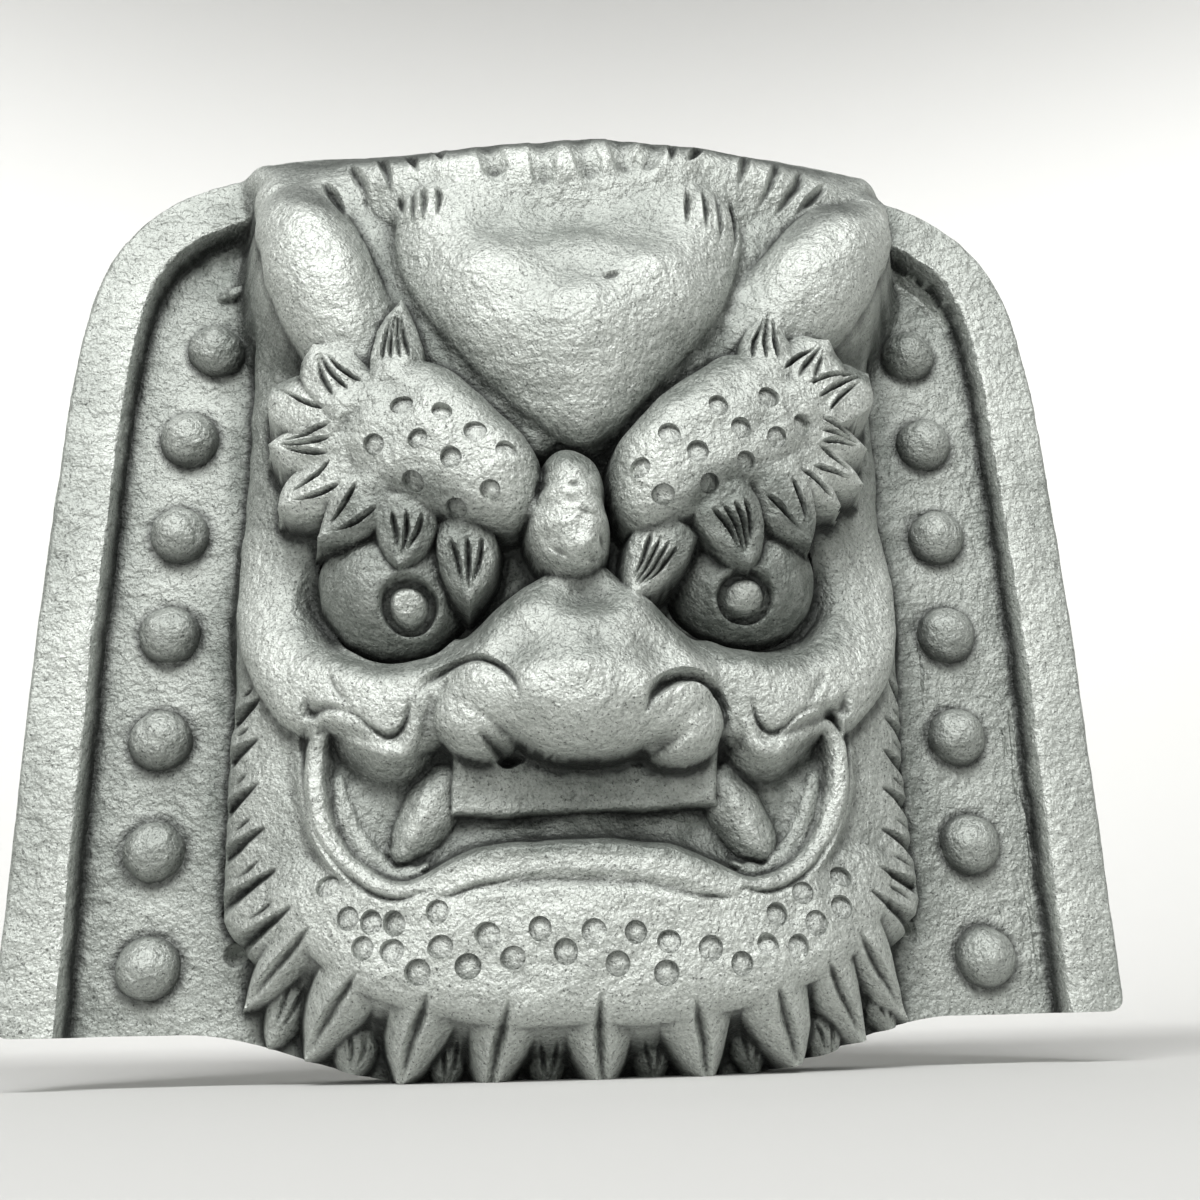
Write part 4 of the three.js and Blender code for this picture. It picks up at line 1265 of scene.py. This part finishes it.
clayLook = {
    "silver": "#C0C4BF",       # the silver of the carbon skin, which the painted highlight on raised parts and the chin also uses
    "grey": "#757A75",
    "crevice": "#1F2120",      # painted shade, near black, in cuts and hollows
    "creviceShadeAmount": 0.86,
    "pepper": "#343634",
    "pepperAmount": 0.65,
    "metallic": 0.64,
    "smoothest": 0.48,         # roughness where the skin is rubbed and where it is dry
    "roughest": 0.67,
    "cloudSize": 38,           # mm, like every size and height below
    "cloudAmount": 0.18,
    "grainSize": 0.8,          # the grit in the pressed clay
    "grainHeight": 0.36,
    "peelSize": 2.4,           # the orange-peel skin over it
    "peelHeight": 1.05,
    "lumpSize": 6.0,
    "lumpHeight": 0.9,
    "pepperSize": 0.72,
    "sharpAngle": 48,
}


def smokedClayMaterial():
    # Low-fired clay smoked at the end of the firing: a carbon skin gives a silver grey with a soft
    # metallic sheen. Painted highlight makes raised parts more silver, and painted shade takes the cuts near
    # black.
    material = bpy.data.materials.new("smokedPressedClay")
    material.use_nodes = True
    tree = material.node_tree
    tree.nodes.clear()
    here = addNode(tree, "ShaderNodeTexCoord").outputs["Object"]
    # the painted shade of cuts and hollows, and the silver skin with its painted highlight and shade, come
    # in as vertex attributes
    crevice = addNode(tree, "ShaderNodeAttribute", {"attribute_name": "crevice"}).outputs["Fac"]
    kept = addNode(tree, "ShaderNodeAttribute", {"attribute_name": "skin"}).outputs["Fac"]
    clouds = noise(tree, here, clayLook["cloudSize"], 0.6)
    mottle = noise(tree, here, clayLook["lumpSize"], 0.65)
    grain = noise(tree, here, clayLook["grainSize"], 0.6)
    peel = noise(tree, here, clayLook["peelSize"], 0.6)
    speck = noise(tree, here, clayLook["pepperSize"], 0.5)
    clouded = mapped(tree, clouds, 0.3, 0.7, -clayLook["cloudAmount"], clayLook["cloudAmount"])
    skinAndLightAmount = addNode(tree, "ShaderNodeMath", {"operation": "ADD", "use_clamp": True},
                         {0: kept, 1: clouded})
    skin = overlaid(tree, skinAndLightAmount.outputs[0], clayLook["grey"], clayLook["silver"])
    mottled = overlaid(tree, mapped(tree, mottle, 0.42, 0.62, 0, 0.22), skin, clayLook["silver"])
    # fine black pepper all over
    pepper = mapped(tree, speck, 0.62, 0.68, 0, clayLook["pepperAmount"])
    peppered = overlaid(tree, pepper, mottled, clayLook["pepper"])
    # single grains of grit catch or lose the carbon
    gritty = addNode(tree, "ShaderNodeVectorMath", {"operation": "SCALE"},
                     {0: peppered, "Scale": mapped(tree, grain, 0.32, 0.68, 0.8, 1.2)})
    # painted shade: the colour is taken towards near black in the cuts and hollows
    shadeAmount = mapped(tree, crevice, 0.05, 0.85, 0, clayLook["creviceShadeAmount"])
    colour = overlaid(tree, shadeAmount, gritty.outputs["Vector"], clayLook["crevice"])
    rough = mapped(tree, grain, 0.3, 0.7, clayLook["smoothest"], clayLook["roughest"])
    # the finest relief first, each coarser one over it
    links = {}
    for height, name in ((grain, "grainHeight"), (peel, "peelHeight"), (mottle, "lumpHeight")):
        bump = addNode(tree, "ShaderNodeBump", {"Strength": 1.0, "Distance": clayLook[name] * mm},
                       {"Height": height, **links})
        links = {"Normal": bump}
    surface = addNode(tree, "ShaderNodeBsdfPrincipled", {"Metallic": clayLook["metallic"]},
                      {"Base Color": colour, "Roughness": rough, **links})
    addNode(tree, "ShaderNodeOutputMaterial", links={"Surface": surface})
    return material


def studCentres(side):
    line = smoothCurve(studShape[side + "Path"], perSpan=6)
    run = np.concatenate([[0], np.cumsum(np.hypot(*np.diff(line, axis=0).T))])
    at = np.linspace(0, run[-1], studShape["count"])
    return list(zip(np.interp(at, run, line[:, 0]), np.interp(at, run, line[:, 1])))


skinAndShadeMarks = {
    # distances in mm over which the relief is averaged to find cuts, dips and raised parts
    "cutReach": 1.1,
    "dipReach": 5.0,
    "raisedReach": 9.0,
    "slopeReach": 3.0,
    # how much silver skin, painted highlight and painted shade each gives, from 0 to 1
    "evenSkin": 0.55,
    # painted shade on the upward faces of the crown
    "crownShade": 0.42,
    "crownFrom": (225, 245),
    # painted highlight on the front of the chin
    "chinHighlight": 0.4,
    "chinMiddle": 36,
    "chinHalf": (60, 17),
    # painted shade in the punched rings, little in their middles
    "ringShade": 0.45,
    "ringCoreShade": 0.05,
    # painted shadow round the foot of each stud
    "studFootShade": 0.75,
    "pupilShine": 0.8,
    "backSkin": 0.5,
}


def markSkinAndShade(thing, clay):
    # painted shade where each spot lies deep in a cut or a dip, and how much of the silver skin with its
    # painted highlight it keeps
    h, step = clay.h, clay.step
    near = 0.85 * (blurred(h, skinAndShadeMarks["cutReach"] / step) - h)
    wide = blurred(h, skinAndShadeMarks["dipReach"] / step) - h
    depth = np.clip(near / 0.9, 0, 1) * 0.8 + np.clip((wide - 1.0) / 8, 0, 1) * 0.55
    raised = h - blurred(h, skinAndShadeMarks["raisedReach"] / step)
    upward = -np.gradient(blurred(h, skinAndShadeMarks["slopeReach"] / step), step, axis=0)
    # painted highlight makes raised parts more silver, and painted shade makes faces turned upward less so
    skin = np.clip(skinAndShadeMarks["evenSkin"] + raised / 9, 0, 1) * (1 - ramp(upward, 0.2, 1.0))
    # painted shade darkens the upward faces at the top of the head, and a painted highlight brightens the
    # chin
    depth += skinAndShadeMarks["crownShade"] * ramp(upward, 0.3, 1.0) * ramp(clay.trueZ, *skinAndShadeMarks["crownFrom"])
    halfX, halfZ = skinAndShadeMarks["chinHalf"]
    skin += skinAndShadeMarks["chinHighlight"] * np.exp(-(clay.trueX / halfX) ** 4
                                            - ((clay.trueZ - skinAndShadeMarks["chinMiddle"]) / halfZ) ** 4)
    # painted shade of the overhanging brows darkens the eyeballs, and the cores of the pupils are kept pale
    for side in ("left", "right"):
        (ballX, ballZ), (pupilX, pupilZ) = eyeShape[side]["ball"], eyeShape[side]["pupil"]
        fromBall = np.hypot(clay.trueX - ballX, clay.trueZ - ballZ) - eyeShape["ballRadius"]
        skin *= ramp(fromBall, -4, 6)
        fromCore = np.hypot((clay.trueX - pupilX) * 0.9, clay.trueZ - pupilZ) - eyeShape["pupilCore"]
        skin = np.maximum(skin, skinAndShadeMarks["pupilShine"] * (1 - ramp(fromCore, -1.5, 0)))
    mesh = thing.data
    points = np.empty(len(mesh.vertices) * 3, np.float32)
    mesh.vertices.foreach_get("co", points)
    x, y, z = (points.reshape(-1, 3) / mm).T
    i = np.clip(((x - clay.left) / step).round().astype(int), 0, h.shape[1] - 1)
    j = np.clip(((z - clay.bottom) / step).round().astype(int), 0, h.shape[0] - 1)
    crevice = depth[j, i]
    # mm that each vertex lies behind the carved surface, so in a punched ring, on a side or at the back
    off = h[j, i] - (tileSize["channelFloorY"] - y)
    # painted shade in each punched ring, less in its middle
    for spotX, spotZ in punchSpots():
        d = np.hypot(x - spotX, z - spotZ) / punchShape["radius"]
        inRing = (off > 0.35) & (d < 1.3)
        shadeAmount = np.where(d > 0.6, skinAndShadeMarks["ringShade"], skinAndShadeMarks["ringCoreShade"])
        crevice = np.where(inRing, shadeAmount, crevice)
    # painted shadow round the foot of each stud
    for studX, studZ in studCentres("left") + studCentres("right"):
        d = np.hypot(x - studX, z - studZ) - studShape["radius"]
        crevice = np.maximum(crevice, skinAndShadeMarks["studFootShade"] * np.exp(-((d - 0.3) / 1.3) ** 2))
    behind = (y > tileSize["channelFloorY"] + 0.5) | (clay.rimGap[j, i] < 0.9) | (off > 6)
    crevice = np.where(behind, 0.0, crevice)
    skin = np.where(behind, skinAndShadeMarks["backSkin"], skin[j, i])
    for name, values in (("crevice", crevice), ("skin", skin)):
        attribute = mesh.attributes.new(name, "FLOAT", "POINT")
        attribute.data.foreach_set("value", np.clip(values, 0, 1).astype(np.float32))


smokedClay = smokedClayMaterial()
print("carving the face")
clay = carveTile(tileSize["gridStep"])
print("closing the block")
tile = clayBlock(clay)
cutOrJoin(tile, outlinePrism(), "INTERSECT")
print("scooping out the back")
cutOrJoin(tile, backHollow(), "DIFFERENCE")
print("punching the rings")
cutOrJoin(tile, punchMarks(tile, smokedClay), "DIFFERENCE")
print("pressing on the studs")
for side in ("left", "right"):
    cutOrJoin(tile, studRow(side, smokedClay), "UNION")
markSkinAndShade(tile, clay)
tile.name = "onigawaraTile"
tile.data.name = "onigawaraTile"
tile.data.materials.clear()
tile.data.materials.append(smokedClay)
tile.data.shade_smooth()
tile.data.set_sharp_from_angle(angle=math.radians(clayLook["sharpAngle"]))
tile.data.calc_loop_triangles()
print("tile triangles:", len(tile.data.loop_triangles))
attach(tile, "root")
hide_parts("onigawara_tile")


studio = {
    "paperColor": "#CBCBC9",
    "floorRadius": 1.2,
    "coveRadius": 0.7,
    "wallTop": 3.4,
    "around": 72,
    "lens": 39.0,            # mm, on a 36 mm frame
    "cameraPlace": (-25.5, -349.9, 14.2),
    "cameraYaw": 5.35,
    "cameraPitch": 17.91,
    "cameraRoll": -1.43,
    "skyStrength": 0.06,
    "lights": {
        # name: place, aim, width and height in metres, watts
        "overheadSoftbox": ((-0.20, -1.20, 1.42), (0.0, 0.0, 0.12), (1.7, 0.56), 39.0),
        "frontFill": ((-0.50, -1.10, 0.60), (0.0, 0.0, 0.13), (0.9, 0.9), 2.6),
        "backdropWash": ((0.0, 0.60, 1.20), (0.0, 1.8, 0.9), (2.4, 0.5), 28.0),
    },
}


def studioSweep():
    # a round paper cove: level floor, curved foot and upright wall in one sheet
    radius, foot, around = studio["floorRadius"], studio["coveRadius"], studio["around"]
    profile = [(0.02, 0), (radius, 0)]
    for a in np.radians(np.arange(6, 91, 6)):
        profile.append((radius + foot * math.sin(a), foot - foot * math.cos(a)))
    profile.append((radius + foot, studio["wallTop"]))
    vertices = [(r * math.sin(a), -r * math.cos(a), z) for r, z in profile
                for a in np.radians(np.arange(around) * 360 / around)]
    faces = []
    for k in range(len(profile) - 1):
        inner, outer = k * around, (k + 1) * around
        for n in range(around):
            after = (n + 1) % around
            faces.append((inner + n, outer + n, outer + after, inner + after))
    faces.append(tuple(range(around)))
    sweep = newMeshObject("studioSweep", vertices, faces)
    sweep.data.shade_smooth()
    material = bpy.data.materials.new("mattPaperSweep")
    material.use_nodes = True
    shader = material.node_tree.nodes["Principled BSDF"]
    shader.inputs["Roughness"].default_value = 0.9
    shader.inputs["Specular IOR Level"].default_value = 0.1
    shader.inputs["Base Color"].default_value = linear(studio["paperColor"])
    sweep.data.materials.append(material)


def studioLights():
    for name, (place, aim, size, watts) in studio["lights"].items():
        lamp = bpy.data.lights.new(name, "AREA")
        lamp.shape = "RECTANGLE"
        lamp.size, lamp.size_y = size
        lamp.energy = watts
        thing = addObject(name, lamp)
        thing.location = place
        thing.rotation_euler = (Vector(aim) - Vector(place)).to_track_quat("-Z", "Y").to_euler()
    world = bpy.data.worlds.new("studioAir")
    world.use_nodes = True
    background = world.node_tree.nodes["Background"]
    background.inputs["Color"].default_value = (1, 1, 1, 1)
    background.inputs["Strength"].default_value = studio["skyStrength"]
    bpy.context.scene.world = world


def studioCamera():
    yaw, pitch, roll = (math.radians(studio[k]) for k in ("cameraYaw", "cameraPitch", "cameraRoll"))
    ahead = Vector((math.sin(yaw) * math.cos(pitch), math.cos(yaw) * math.cos(pitch), math.sin(pitch)))
    right = Vector((math.cos(yaw), -math.sin(yaw), 0))
    up = right.cross(ahead)
    right, up = right * math.cos(roll) + up * math.sin(roll), up * math.cos(roll) - right * math.sin(roll)
    lens = bpy.data.cameras.new("studioCamera")
    lens.sensor_width = 36
    lens.lens = studio["lens"]
    lens.clip_start = 0.01
    camera = addObject("studioCamera", lens)
    turn = Matrix((right, up, -ahead)).transposed().to_4x4()
    camera.matrix_world = Matrix.Translation(Vector(studio["cameraPlace"]) * mm) @ turn
    bpy.context.scene.camera = camera


print("setting up the studio")
studioSweep()
studioLights()
studioCamera()
bpy.context.scene.view_settings.view_transform = "Standard"

bpy.context.view_layer.update()
